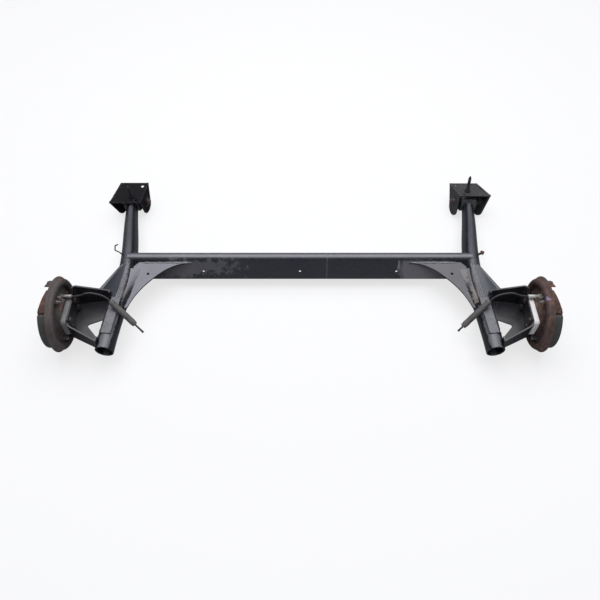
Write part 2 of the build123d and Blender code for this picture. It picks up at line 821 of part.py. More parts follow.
with BuildPart() as backing_plate:
    with BuildSketch(Plane.XZ):
        with Locations((0, wheel_z)):
            with BuildLine():
                dish = FilletPolyline(
                    *[(x, wheel_z + radius) for x, radius in backing_profile],
                    radius=backing_bend_radius,
                )
                offset(dish, amount=backing_sheet, side=Side.RIGHT)
        make_face()
    revolve(axis=Axis((0, 0, wheel_z), (1, 0, 0)))
    with BuildSketch(wheel_plane(hub_plate_outer_x)):
        with Locations(*hub_bolt_places):
            Circle(hub_bolt_radius + fit_gap)
        with Locations((0, cylinder_z)):
            SlotOverall(spigot_width + 2 * fit_gap, 2 * (spigot_radius + fit_gap))
        with Locations((ferrule_y, ferrule_z - wheel_z)):
            Circle(ferrule_collar_radius + fit_gap)
        with Locations(plug_place):
            Circle(plug_radius + fit_gap)
        with Locations((-hold_down_y, 0), (hold_down_y, 0)):
            Circle(hold_down_radius + fit_gap)
    extrude(amount=backing_platform_x - hub_plate_outer_x + backing_groove, mode=Mode.SUBTRACT)

save_pair(backing_plate.part, "backing_plate")


# Stub axle: register, flange, bearing seats and thread
stub_steps = [
    (hub_plate_outer_x - register_length, register_radius),
    (spindle_flange_x, spindle_flange_radius),
    (hub_bolt_end_x, spindle_radius + spindle_shoulder),
    *[
        (hub_bolt_end_x + along, spindle_radius - spindle_step * index)
        for index, along in enumerate(spindle_seats)
    ],
]
spindle_end_x = hub_plate_outer_x + spindle_length

with BuildPart() as stub_axle:
    for index, (start_x, radius) in enumerate(stub_steps):
        end_x = stub_steps[index + 1][0] if index + 1 < len(stub_steps) else spindle_end_x
        with BuildSketch(wheel_plane(start_x)):
            Circle(radius)
        extrude(amount=end_x - start_x)
    with BuildSketch(wheel_plane(spindle_flange_x)):
        with Locations(*hub_bolt_places):
            Circle(hub_bolt_radius + weld_gap)
    extrude(amount=spindle_flange_thickness, mode=Mode.SUBTRACT)
    chamfer(stub_axle.faces().sort_by(Axis.X)[-1].edges(), spindle_edge)

save_pair(stub_axle.part, "stub_axle")


# Brake shoes: a web, a table welded round it, and a bonded lining. The rear shoe is drawn
def shoe_arc(radius, half_arc):
    """An arc round the rear of the wheel axis."""
    return ThreePointArc(
        polar(radius, 180 - half_arc), polar(radius, 180), polar(radius, 180 + half_arc)
    )


with BuildPart() as shoe:
    with BuildSketch(wheel_plane(web_x - web_thickness / 2)):
        with BuildLine():
            rim = shoe_arc(web_radius, table_half_arc)
            tip = Polyline(rim @ 0, (-shoe_tip_y, shoe_tip_top), (-shoe_tip_y, shoe_tip_bottom))
            heel = Polyline(
                (-anchor_half_width - fit_gap, shoe_heel_top),
                (-anchor_half_width - fit_gap, shoe_heel_bottom),
                rim @ 1,
            )
            ThreePointArc(tip @ 1, (-web_inner_y, 0), heel @ 0)
        make_face()
        with Locations((-hold_down_y, 0)):
            Circle(hold_down_hole_radius, mode=Mode.SUBTRACT)
        with Locations((-spring_hole_y, upper_spring_z), (-spring_hole_y, lower_spring_z)):
            Circle(spring_wire_radius + spring_hole_margin, mode=Mode.SUBTRACT)
        with Locations((strut_slot_depth / 2 - strut_slot_y, strut_z)):
            Rectangle(strut_slot_depth, 2 * (strut_half_height + strut_play), mode=Mode.SUBTRACT)
    extrude(amount=web_thickness)
    with BuildSketch(wheel_plane(web_x - shoe_width / 2)):
        with BuildLine():
            inner = shoe_arc(web_radius, table_half_arc)
            outer = shoe_arc(table_radius, table_half_arc)
            Line(inner @ 0, outer @ 0)
            Line(inner @ 1, outer @ 1)
        make_face()
    extrude(amount=shoe_width)

with BuildPart() as lining:
    with BuildSketch(wheel_plane(web_x - shoe_width / 2)):
        with BuildLine():
            inner = shoe_arc(table_radius, lining_half_arc)
            outer = shoe_arc(shoe_radius, lining_half_arc - lining_taper)
            Line(inner @ 0, outer @ 0)
            Line(inner @ 1, outer @ 1)
        make_face()
    extrude(amount=shoe_width)

for place, half in (("rear", 1), ("front", -1)):
    for name, piece in (("shoe", shoe.part), ("lining", lining.part)):
        drawn = piece if half == 1 else mirror(piece, about=Plane.XZ)
        save_pair(drawn, f"{place}_{name}")


# Wheel cylinder with its rubber boots, and the fittings on its back
with BuildPart() as wheel_cylinder:
    with BuildSketch(Plane.XZ.offset(-cylinder_half_length)):
        with Locations((web_x, wheel_z + cylinder_z)):
            Circle(cylinder_radius)
    extrude(amount=2 * cylinder_half_length)
    with BuildSketch(wheel_plane(backing_platform_x + backing_sheet)):
        with Locations((0, cylinder_z)):
            RectangleRounded(
                spigot_width + 2 * cylinder_foot_margin,
                2 * (spigot_radius + cylinder_foot_margin) + 2,
                cylinder_foot_corner,
            )
    extrude(amount=web_x - backing_platform_x - backing_sheet)
    with BuildSketch(wheel_plane(backing_platform_x - spigot_reach)):
        with Locations((0, cylinder_z)):
            SlotOverall(spigot_width, 2 * spigot_radius)
    extrude(amount=spigot_reach + backing_sheet)

save_pair(wheel_cylinder.part, "wheel_cylinder")

with BuildPart() as cylinder_boots:
    for end in (-1, 1):
        with BuildSketch(Plane.XY.offset(wheel_z + cylinder_z)):
            with BuildLine():
                start_y = end * cylinder_half_length
                Polyline(
                    (web_x, start_y),
                    *[
                        (web_x + boot_radius * share, start_y + end * along)
                        for share, along in boot_steps
                    ],
                    (web_x, start_y + end * boot_steps[-1][1]),
                    close=True,
                )
            make_face()
        revolve(axis=Axis((web_x, 0, wheel_z + cylinder_z), (0, 1, 0)))
    mirror(about=Plane.YZ)

save(cylinder_boots.part, "cylinder_boots")

with BuildPart() as bleed_fittings:
    fitting_x = backing_platform_x - spigot_reach
    with BuildSketch(wheel_plane(fitting_x)):
        with Locations((bleed_half_spacing, cylinder_z)):
            RegularPolygon(bleed_apothem, 6, major_radius=False)
        with Locations((-bleed_half_spacing, cylinder_z)):
            RegularPolygon(inlet_apothem, 6, major_radius=False)
    extrude(amount=-bleed_hexagon)
    with BuildSketch(wheel_plane(fitting_x - bleed_hexagon)):
        with Locations((bleed_half_spacing, cylinder_z), (-bleed_half_spacing, cylinder_z)):
            Circle(bleed_radius)
    extrude(amount=spigot_reach + bleed_hexagon - bleed_reach)
    mirror(about=Plane.YZ)

save(bleed_fittings.part, "bleed_fittings")

with BuildPart() as plate_plugs:
    with BuildSketch(wheel_plane(backing_platform_x - plug_reach)):
        with Locations(plug_place):
            Circle(plug_radius)
    extrude(amount=plug_reach + backing_sheet)
    chamfer(plate_plugs.faces().sort_by(Axis.X)[0].edges(), plug_edge)
    mirror(about=Plane.YZ)

save(plate_plugs.part, "plate_plugs")

# Anchor block, with a keeper plate over the lower ends of the shoes
keeper_x = web_x + web_thickness / 2 + keeper_clearance
with BuildPart() as anchor_block:
    with BuildSketch(wheel_plane(backing_platform_x + backing_sheet)):
        with Locations((0, anchor_z)):
            RectangleRounded(2 * anchor_half_width, anchor_height, anchor_corner)
    extrude(amount=keeper_x - backing_platform_x - backing_sheet)
    with BuildSketch(wheel_plane(keeper_x)):
        with Locations((0, anchor_z)):
            RectangleRounded(2 * (anchor_half_width + keeper_overlap), keeper_height, keeper_corner)
    extrude(amount=keeper_sheet)

save_pair(anchor_block.part, "anchor_block")

# Adjuster strut between the webs
with BuildPart() as adjuster_strut:
    blade_start = strut_slot_y - strut_blade
    with BuildSketch(Plane.XZ.offset(-blade_start)):
        with Locations((web_x, wheel_z + strut_z)):
            Circle(strut_half_height + strut_margin)
    extrude(amount=2 * blade_start)
    with BuildSketch(Plane.XZ.offset(-strut_wheel_y)):
        with Locations((web_x, wheel_z + strut_z)):
            Circle(strut_wheel_radius)
    extrude(amount=strut_wheel_width)
    with BuildSketch(wheel_plane(web_x - strut_blade_width / 2)):
        for end in (-1, 1):
            with Locations((end * (strut_slot_y - (strut_blade + fit_gap) / 2), strut_z)):
                Rectangle(strut_blade - fit_gap, 2 * strut_half_height)
    extrude(amount=strut_blade_width)

save_pair(adjuster_strut.part, "adjuster_strut")

# Return springs, hooked into both webs
spring_x = web_x + spring_outset
with BuildPart() as return_springs:
    for z, coil_half, turns in spring_coils:
        height = wheel_z + z
        pitch = 2 * coil_half / turns
        with BuildSketch(Plane.XY.offset(height)):
            with BuildLine():
                bumps = [(spring_x + spring_root_radius, -coil_half)]
                for turn in range(turns):
                    crown = -coil_half + (turn + 0.5) * pitch
                    bumps.append((spring_x + spring_crown_radius, crown))
                    bumps.append((spring_x + spring_root_radius, crown + pitch / 2))
                Polyline(*bumps, (spring_x, coil_half), (spring_x, -coil_half), close=True)
            make_face()
        revolve(axis=Axis((spring_x, 0, height), (0, 1, 0)))
        for end in (-1, 1):
            with BuildLine() as hook:
                FilletPolyline(
                    (spring_x, end * (coil_half - spring_overlap), height),
                    (spring_x, end * spring_hole_y, height),
                    (web_x - web_thickness / 2 - spring_hook_depth, end * spring_hole_y, height),
                    radius=spring_hook_radius,
                )
            with BuildSketch(Plane(origin=hook.line @ 0, z_dir=hook.line % 0)):
                Circle(spring_wire_radius)
            sweep()

save_pair(return_springs.part, "return_springs")

# Hold down pins, springs and cups, two to a wheel
with BuildPart() as hold_downs:
    places = [(-hold_down_y, 0), (hold_down_y, 0)]
    seat_x = web_x + web_thickness / 2 + fit_gap
    cup_x = seat_x + hold_down_spring_length
    for start_x, end_x, radius in (
        (backing_platform_x - hold_down_head, backing_platform_x, hold_down_head_radius),
        (backing_platform_x, cup_x + hold_down_cup, hold_down_radius),
        (seat_x, cup_x, hold_down_spring_radius),
        (cup_x, cup_x + hold_down_cup, hold_down_cup_radius),
    ):
        with BuildSketch(wheel_plane(start_x)):
            with Locations(*places):
                Circle(radius)
        extrude(amount=end_x - start_x)
    mirror(about=Plane.YZ)

save(hold_downs.part, "hold_downs")


# Handbrake cable: ferrule in the backing plate, cable, rubber sleeve and bare wire end
with BuildPart() as cable_ferrule:
    with BuildSketch(wheel_plane(ferrule_inner_x)):
        with Locations((ferrule_y, ferrule_z - wheel_z)):
            Circle(ferrule_radius)
    extrude(amount=backing_platform_x + backing_sheet + ferrule_outer_reach - ferrule_inner_x)
    with BuildSketch(wheel_plane(backing_platform_x - ferrule_collar_reach)):
        with Locations((ferrule_y, ferrule_z - wheel_z)):
            Circle(ferrule_collar_radius)
    extrude(amount=ferrule_collar_reach + backing_sheet)

save_pair(cable_ferrule.part, "cable_ferrule")


def route_radii(route):
    """The arc at each bend: as large as its two runs allow."""
    radii = []
    for before, corner, after in zip(route, route[1:], route[2:]):
        first = corner - before
        second = after - corner
        half_turn = radians(first.get_angle(second)) / 2
        radii.append(0.45 * min(first.length, second.length) / tan(half_turn))
    return radii


cable_radii = route_radii(cable_route)
print("cable arc radii", [round(radius, 1) for radius in cable_radii])
print("cable route", [[round(value, 1) for value in point] for point in cable_route])

with BuildPart() as handbrake_cable:
    with BuildLine() as cable_line:
        FilletPolyline(*cable_route, radius=cable_radii)
    with BuildSketch(Plane(origin=cable_line.line @ 0, z_dir=cable_line.line % 0)):
        Circle(cable_radius)
    sweep()

cable_length = sum(edge.length for edge in cable_line.edges())
cable_volume = cable_length * cable_radius ** 2 * pi
volume_ratio = handbrake_cable.part.volume / cable_volume
print("cable length", round(cable_length, 1), "volume ratio", round(volume_ratio, 4))
save_pair(handbrake_cable.part, "handbrake_cable")

sleeve_plane = Plane(origin=sleeve_from, z_dir=sleeve_run)
sleeve_length = sleeve_run.length

with BuildPart() as cable_sleeve:
    with BuildSketch(sleeve_plane):
        Circle(sleeve_body_radius)
    extrude(amount=sleeve_length)
    for along in (0, sleeve_length / 2, sleeve_length - sleeve_band):
        with BuildSketch(sleeve_plane.offset(along)):
            Circle(sleeve_radius)
        extrude(amount=sleeve_band)

save_pair(cable_sleeve.part, "cable_sleeve")

with BuildPart() as cable_wire:
    with BuildSketch(sleeve_plane.offset(sleeve_length)):
        Circle(wire_radius)
    extrude(amount=wire_length)
    with BuildSketch(sleeve_plane.offset(sleeve_length + wire_length - nipple_length)):
        Circle(nipple_radius)
    extrude(amount=nipple_length)

save_pair(cable_wire.part, "cable_wire")


# Small parts on the arms: a wire hook on the left and a clip bolt on the right
with BuildPart() as pipe_hook:
    with BuildLine() as hook_line:
        FilletPolyline(*all_by_arm(hook_route), radius=hook_bend)
    with BuildSketch(Plane(origin=hook_line.line @ 0, z_dir=hook_line.line % 0)):
        Circle(hook_radius)
    sweep()
    add(arm_outside, mode=Mode.SUBTRACT)

save(mirror(pipe_hook.part, about=Plane.YZ), "pipe_hook_left")

clip_plane = Plane(origin=by_arm(clip_place), z_dir=clip_aim)
with BuildPart() as clip_bolt:
    with BuildSketch(clip_plane):
        Circle(clip_radius)
    extrude(amount=clip_length)
    with BuildSketch(clip_plane.offset(clip_nut_start)):
        RegularPolygon(clip_nut_across_flats / 2, 6, major_radius=False)
    extrude(amount=clip_nut_height)
    add(arm_outside, mode=Mode.SUBTRACT)

save(clip_bolt.part, "clip_bolt_right")
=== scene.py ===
"""Looks of a twist beam rear axle, taken off a small car and lying on a pale studio floor.

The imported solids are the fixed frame. This script gives every one of them its finish, and adds
the weld beads, the brace's web, the gusset's apron, the rolled rims, the ends of the shoe tables
and the threads. It makes the cables, their sleeves and their bare wires again in place of the
plain solids.
"""

import logging
import math
from dataclasses import dataclass, replace
from enum import Enum

import bpy
import numpy as np
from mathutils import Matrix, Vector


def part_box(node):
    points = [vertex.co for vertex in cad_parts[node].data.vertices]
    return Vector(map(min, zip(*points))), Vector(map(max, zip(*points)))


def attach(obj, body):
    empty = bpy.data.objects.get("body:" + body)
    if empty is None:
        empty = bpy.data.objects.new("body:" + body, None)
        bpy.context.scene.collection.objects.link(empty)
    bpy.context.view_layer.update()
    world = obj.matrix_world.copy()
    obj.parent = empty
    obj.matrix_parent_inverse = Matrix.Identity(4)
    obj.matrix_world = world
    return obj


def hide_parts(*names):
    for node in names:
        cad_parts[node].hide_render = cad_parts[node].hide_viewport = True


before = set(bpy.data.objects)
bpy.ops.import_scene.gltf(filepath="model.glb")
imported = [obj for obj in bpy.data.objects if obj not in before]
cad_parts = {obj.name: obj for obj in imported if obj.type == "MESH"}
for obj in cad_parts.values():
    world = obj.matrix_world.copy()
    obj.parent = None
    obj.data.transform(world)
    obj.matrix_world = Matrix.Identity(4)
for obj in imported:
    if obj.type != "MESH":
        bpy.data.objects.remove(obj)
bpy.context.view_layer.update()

MM = 0.001
log = logging.getLogger("rear_axle")

Colour = tuple[float, float, float]
Point = tuple[float, float, float]
Pair = tuple[float, float]
Skin = tuple[np.ndarray, list[list[int]]]
Socket = bpy.types.NodeSocket
Tree = bpy.types.NodeTree


class Side(Enum):
    """The two ends of the axle, with the sign of their X."""

    RIGHT = 1
    LEFT = -1

    @property
    def word(self) -> str:
        """The side's name, as the nodes end in it."""
        return self.name.lower()

    @property
    def pick(self) -> int:
        """The side's place in a pair of values, of which the right one comes first."""
        return 0 if self is Side.RIGHT else 1


def wheel_axis_y() -> float:
    """How far forward the wheel axis lies in metres: the middle of a stub axle's box."""
    low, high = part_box("stub_axle_right")
    return float(low[1] + high[1]) / 2


WHEEL_Y = wheel_axis_y()
WHEEL_Z = 115.0     # height of the wheel axis over the floor, in millimetres


def spot(side: Side, x: float, y: float, z: float) -> np.ndarray:
    """A point in the shared frame, in metres.

    Args:
        side: the end of the axle that it is on.
        x: millimetres outwards from the middle of the car.
        y: millimetres forward of the wheel axis.
        z: millimetres above the floor.

    Returns:
        The point as an array of three numbers.
    """
    return np.array([side.value * x * MM, WHEEL_Y + y * MM, z * MM])


class ShaderSketch:
    """A short hand for wiring shader nodes in a material or a node group."""

    def __init__(self, tree: Tree) -> None:
        """Keep the tree that the nodes go into."""
        self.tree = tree

    def node(self, kind: str, settings: dict | None = None, **inputs) -> bpy.types.Node:
        """Add a node.

        Args:
            kind: the node's type, without its ShaderNode prefix.
            settings: properties of the node itself.
            inputs: values or sockets for its inputs, with _ for a blank in their names.

        Returns:
            The new node.
        """
        made = self.tree.nodes.new("ShaderNode" + kind)
        for key, value in (settings or {}).items():
            setattr(made, key, value)
        for key, value in inputs.items():
            self.feed(made.inputs[key.replace("_", " ")], value)
        return made

    def feed(self, socket: Socket, value) -> None:
        """Link a socket to an input, or write a plain value into it."""
        if isinstance(value, Socket):
            self.tree.links.new(value, socket)
        elif isinstance(value, tuple) and len(value) == 3 and socket.type == "RGBA":
            socket.default_value = (*value, 1.0)
        else:
            socket.default_value = value

    def wire(self, made: bpy.types.Node, places: tuple, values: tuple, out=0) -> Socket:
        """Feed values to a node's inputs at some places, and take one of its outputs."""
        for place, value in zip(places, values):
            self.feed(made.inputs[place], value)
        return made.outputs[out]

    def math(self, operation: str, first, second=0.5, clamp: bool = False) -> Socket:
        """One step of arithmetic on two values."""
        made = self.node("Math", {"operation": operation, "use_clamp": clamp})
        return self.wire(made, (0, 1), (first, second))

    def times(self, first, second, clamp: bool = False) -> Socket:
        """The product of two values."""
        return self.math("MULTIPLY", first, second, clamp)

    def plus(self, first, second) -> Socket:
        """The sum of two values."""
        return self.math("ADD", first, second)

    def minus(self, first, second) -> Socket:
        """The first value less the second."""
        return self.math("SUBTRACT", first, second)

    def between(self, value, low: float, high: float) -> Socket:
        """A smooth step from 0 at low to 1 at high."""
        return self.node("MapRange", {"interpolation_type": "SMOOTHSTEP"}, Value=value, From_Min=low,
                         From_Max=high).outputs["Result"]

    def blend(self, share, first, second) -> Socket:
        """Mix two colours by a share."""
        made = self.node("Mix", {"data_type": "RGBA"})
        return self.wire(made, (0, 6, 7), (share, first, second), 2)

    def weigh(self, share, first, second) -> Socket:
        """Mix two numbers by a share."""
        return self.wire(self.node("Mix", {"data_type": "FLOAT"}), (0, 2, 3), (share, first, second))

    def shade(self, share, first, second) -> Socket:
        """Mix two shaders by a share."""
        return self.wire(self.node("MixShader"), (0, 1, 2), (share, first, second))

    def noise(self, where, scale, detail: float = 4.0, rough: float = 0.6,
              warp: float = 0.0) -> Socket:
        """Fractal noise at a scale in cycles a metre."""
        return self.node("TexNoise", Vector=where, Scale=scale, Detail=detail, Roughness=rough,
                         Distortion=warp).outputs["Fac"]

    @classmethod
    def afresh(cls, owner: bpy.types.Material | bpy.types.World) -> "ShaderSketch":
        """Start on an empty node tree of a material or a world."""
        owner.use_nodes = True
        owner.node_tree.nodes.clear()
        return cls(owner.node_tree)


class GroupSketch(ShaderSketch):
    """A node group on its way: its inputs are taken and its outputs given by name."""

    def __init__(self, name: str, inputs: dict[str, float], outputs: dict[str, str]) -> None:
        """Start the group.

        Args:
            name: the group's name.
            inputs: its number inputs with their default values; every group also takes Where.
            outputs: its outputs, each with Float, Color or Vector.
        """
        super().__init__(bpy.data.node_groups.new(name, "ShaderNodeTree"))
        face = self.tree.interface
        face.new_socket("Where", in_out="INPUT", socket_type="NodeSocketVector")
        for key, value in inputs.items():
            face.new_socket(key, in_out="INPUT", socket_type="NodeSocketFloat").default_value = value
        for key, kind in outputs.items():
            face.new_socket(key, in_out="OUTPUT", socket_type="NodeSocket" + kind)
        self.take = self.tree.nodes.new("NodeGroupInput").outputs
        self.exits = self.tree.nodes.new("NodeGroupOutput").inputs

    def give(self, **values) -> Tree:
        """Feed the group's outputs, and hand over the finished group."""
        for key, value in values.items():
            self.feed(self.exits[key], value)
        return self.tree


def colour_stops(ramp: bpy.types.Node, stops: tuple[tuple[float, Colour], ...]) -> None:
    """Set a colour ramp's stops: pairs of a place and a colour, in rising order."""
    elements = ramp.color_ramp.elements
    for _ in stops[2:]:
        elements.new(0.5)
    for element, (place, tone) in zip(elements, stops):
        element.position = place
        element.color = (*tone, 1.0)


def add_object(name: str, data: bpy.types.ID) -> bpy.types.Object:
    """Make an object from its data and put it in the scene."""
    made = bpy.data.objects.new(name, data)
    bpy.context.scene.collection.objects.link(made)
    return made


@dataclass(frozen=True)
class Effects:
    """The surface effects that the finishes share, each a node group."""

    edges: Tree
    dust: Tree
    rust: Tree
    scuffs: Tree
    patch: Tree

    @classmethod
    def build(cls) -> "Effects":
        """Make the five groups once."""
        return cls(cls._edges(), cls._dust(), cls._rust(), cls._scuffs(), cls._patch())

    @staticmethod
    def _edges() -> Tree:
        """Worn edges: where a rounded normal leaves the true one, broken up by noise."""
        group = GroupSketch("worn edges", {"Radius": 0.0015, "Amount": 0.5},
                            {"Mask": "Float", "Normal": "Vector"})
        rounded = group.node("Bevel", {"samples": 4}, Radius=group.take["Radius"]).outputs[0]
        true = group.node("NewGeometry").outputs["True Normal"]
        turn = group.wire(group.node("VectorMath", {"operation": "DOT_PRODUCT"}), (0, 1),
                          (rounded, true), "Value")
        bent = group.between(group.minus(1.0, turn), 0.02, 0.22)
        grain = group.noise(group.take["Where"], 160.0, 6.0, 0.65)
        cut = group.minus(1.0, group.take["Amount"])
        lively = group.times(bent, group.plus(grain, 0.35))
        return group.give(Mask=group.times(group.minus(lively, cut), 5.0, clamp=True), Normal=rounded)

    @staticmethod
    def _dust() -> Tree:
        """Dust on what faces up, thin and cloudy."""
        group = GroupSketch("settled dust", {"Level": 0.5, "Scale": 14.0}, {"Mask": "Float"})
        upright = group.node("SeparateXYZ", Vector=group.node("TexCoord").outputs["Normal"])
        facing = group.between(upright.outputs["Z"], 0.84, 1.0)
        cloud = group.noise(group.take["Where"], group.take["Scale"], 7.0, 0.62)
        lively = group.plus(group.times(cloud, 0.7), 0.62)
        thin = group.times(facing, group.take["Level"])
        return group.give(Mask=group.times(thin, lively, clamp=True))

    @staticmethod
    def _rust() -> Tree:
        """Rust: a blotchy cover, its colour from dark to orange, and its rough height."""
        group = GroupSketch("rust", {"Cover": 0.5, "Scale": 30.0, "Warmth": 0.5},
                            {"Mask": "Float", "Colour": "Color", "Height": "Float"})
        where = group.take["Where"]
        blotch = group.noise(where, group.take["Scale"], 9.0, 0.68)
        low = group.minus(1.0, group.take["Cover"])
        mask = group.times(group.minus(blotch, group.times(low, 0.78)), 9.0, clamp=True)
        speck = group.noise(where, 420.0, 5.0, 0.7)
        patchy = group.noise(where, 55.0, 6.0, 0.7, 0.4)
        tone = group.plus(group.times(patchy, 0.65), group.times(speck, 0.35))
        shade = group.node("ValToRGB", Fac=tone)
        colour_stops(shade, ((0.34, (0.020, 0.013, 0.011)), (0.5, (0.085, 0.044, 0.031)),
                             (0.68, (0.235, 0.105, 0.052))))
        tint = group.node("HueSaturation", Color=shade.outputs["Color"], Saturation=group.take["Warmth"])
        return group.give(Mask=mask, Colour=tint.outputs["Color"],
                          Height=group.times(group.plus(speck, patchy), mask))

    @staticmethod
    def _scuffs() -> Tree:
        """Fine scratches in two directions and small chips."""
        group = GroupSketch("scuffs", {"Amount": 0.5}, {"Scratches": "Float", "Chips": "Float"})
        where, amount = group.take["Where"], group.take["Amount"]
        lines = []
        for turn, stretch in ((0.35, (9.0, 170.0, 170.0)), (1.9, (140.0, 8.0, 140.0))):
            turned = group.node("Mapping", Vector=where, Rotation=(0.2, 0.1, turn), Scale=stretch)
            lines.append(group.between(group.noise(turned.outputs[0], 1.0, 3.0, 0.5), 0.70, 0.78))
        lots = group.between(group.noise(where, 11.0, 3.0), 0.42, 0.68)
        both = group.times(group.math("MAXIMUM", *lines), lots)
        fleck = group.noise(where, 210.0, 4.0, 0.75)
        edge = group.minus(0.86, group.times(amount, 0.2))
        return group.give(Scratches=group.times(both, amount),
                          Chips=group.times(group.minus(fleck, edge), 22.0, clamp=True))

    @staticmethod
    def _patch() -> Tree:
        """A ragged patch: inside a box about a centre, eaten away by noise."""
        group = GroupSketch(
            "ragged patch",
            {"X": 0.0, "Y": 0.0, "Z": 0.0, "Half X": 0.1, "Half Y": 0.1, "Half Z": 0.1,
             "Raggedness": 0.5, "Scale": 60.0}, {"Mask": "Float"})
        parts = group.node("SeparateXYZ", Vector=group.take["Where"]).outputs
        offs = [group.math("ABSOLUTE", group.minus(parts[axis], group.take[axis])) for axis in "XYZ"]
        shares = [group.math("DIVIDE", off, group.take["Half " + axis]) for axis, off in zip("XYZ", offs)]
        worst = group.math("MAXIMUM", group.math("MAXIMUM", shares[0], shares[1]), shares[2])
        torn = group.noise(group.take["Where"], group.take["Scale"], 6.0, 0.7)
        ragged = group.times(group.minus(torn, 0.5), group.take["Raggedness"])
        level = group.plus(group.times(group.minus(1.0, worst), 0.5), ragged)
        return group.give(Mask=group.times(level, 8.0, clamp=True))


@dataclass(frozen=True)
class Mark:
    """A patch of another colour at one place on a finish, in metres of the shared frame."""

    centre: Point
    half: Point
    colour: Colour
    raggedness: float = 1.0
    scale: float = 60.0
    strength: float = 1.0


@dataclass(frozen=True)
class Finish:
    """One painted, plated, rusty or rubber surface, with its wear.

    Its nodes are the names of the solids that it goes on; a star stands for both sides.
    """

    name: str
    colour: Colour
    cloud: Colour
    nodes: str = ""
    cloudiness: float = 0.3
    cloud_scale: float = 12.0
    roughness: float = 0.3
    metallic: float = 0.0
    coat: float = 0.0
    specular: float = 0.5
    dust_colour: Colour = (0.27, 0.265, 0.29)
    dust: float = 0.0
    wear_colour: Colour = (0.16, 0.16, 0.17)
    wear: float = 0.0
    chip_colour: Colour = (0.22, 0.21, 0.22)
    scuffs: float = 0.0
    rust: float = 0.0
    rust_scale: float = 30.0
    warmth: float = 1.0
    grain: float = 0.15
    grain_scale: float = 260.0
    soft_edge: float = 0.0012
    marks: tuple[Mark, ...] = ()
    coat_roughness: float = 0.12
    worn_roughness: float = 0.5
    chipped_roughness: float = 0.6
    marked_roughness: float = 0.55
    rusty_roughness: float = 0.82
    dusty_roughness: float = 0.6
    dust_scale: float = 14.0
    bump_strength: float = 0.35
    bump_depth: float = 0.0006

    def material(self, effects: Effects) -> bpy.types.Material:
        """Build the finish as a node material.

        Args:
            effects: the shared node groups.

        Returns:
            The material.
        """
        made = bpy.data.materials.new(self.name)
        sketch = ShaderSketch.afresh(made)
        where = sketch.node("TexCoord").outputs["Object"]
        cloud = sketch.between(sketch.noise(where, self.cloud_scale, 6.0, 0.6, 0.3), 0.35, 0.7)
        colour = sketch.blend(sketch.times(cloud, self.cloudiness), self.colour, self.cloud)
        grain = sketch.noise(where, self.grain_scale, 4.0, 0.6)
        rough = sketch.plus(sketch.times(sketch.minus(grain, 0.5), 0.25), self.roughness)
        rough = sketch.plus(rough, sketch.times(cloud, 0.10))
        height = sketch.times(grain, self.grain)
        metal = self.metallic

        edges = self._group(sketch, effects.edges, where, Radius=self.soft_edge, Amount=self.wear)
        if self.wear:
            colour = sketch.blend(edges.outputs["Mask"], colour, self.wear_colour)
            rough = sketch.weigh(edges.outputs["Mask"], rough, self.worn_roughness)
        if self.scuffs:
            scuffs = self._group(sketch, effects.scuffs, where, Amount=self.scuffs)
            colour = sketch.blend(scuffs.outputs["Scratches"], colour, self.chip_colour)
            colour = sketch.blend(scuffs.outputs["Chips"], colour, self.chip_colour)
            rough = sketch.weigh(scuffs.outputs["Chips"], rough, self.chipped_roughness)
        for mark in self.marks:
            patch = self._group(sketch, effects.patch, where, Raggedness=mark.raggedness,
                                Scale=mark.scale)
            for axis, middle, half in zip("XYZ", mark.centre, mark.half):
                patch.inputs[axis].default_value = middle
                patch.inputs["Half " + axis].default_value = half
            share = sketch.times(patch.outputs["Mask"], mark.strength)
            colour = sketch.blend(share, colour, mark.colour)
            rough = sketch.weigh(share, rough, self.marked_roughness)
        if self.rust:
            rust = self._group(sketch, effects.rust, where, Cover=self.rust, Scale=self.rust_scale,
                               Warmth=self.warmth)
            colour = sketch.blend(rust.outputs["Mask"], colour, rust.outputs["Colour"])
            rough = sketch.weigh(rust.outputs["Mask"], rough, self.rusty_roughness)
            height = sketch.plus(height, sketch.times(rust.outputs["Height"], 0.8))
            if self.metallic:
                metal = sketch.weigh(rust.outputs["Mask"], self.metallic, 0.0)
        if self.dust:
            dust = self._group(sketch, effects.dust, where, Level=self.dust, Scale=self.dust_scale)
            colour = sketch.blend(dust.outputs["Mask"], colour, self.dust_colour)
            rough = sketch.weigh(sketch.times(dust.outputs["Mask"], 0.6), rough, self.dusty_roughness)

        bump = sketch.node("Bump", Height=height, Normal=edges.outputs["Normal"],
                           Strength=self.bump_strength, Distance=self.bump_depth)
        shader = sketch.node(
            "BsdfPrincipled", Base_Color=colour, Roughness=sketch.math("MAXIMUM", rough, 0.06),
            Metallic=metal, Coat_Weight=self.coat, Coat_Roughness=self.coat_roughness,
            Specular_IOR_Level=self.specular, Normal=bump.outputs["Normal"])
        sketch.node("OutputMaterial", Surface=shader.outputs[0])
        return made

    @staticmethod
    def _group(sketch: ShaderSketch, tree: Tree, where, **values) -> bpy.types.Node:
        """Place a shared group in the material with its own values."""
        return sketch.node("Group", {"node_tree": tree}, Where=where, **values)


BLACK: Colour = (0.011, 0.012, 0.016)
BLUE_BLACK: Colour = (0.016, 0.018, 0.026)
FACE_Y = -0.030     # about where the beam's rear face lies, in metres of the shared frame

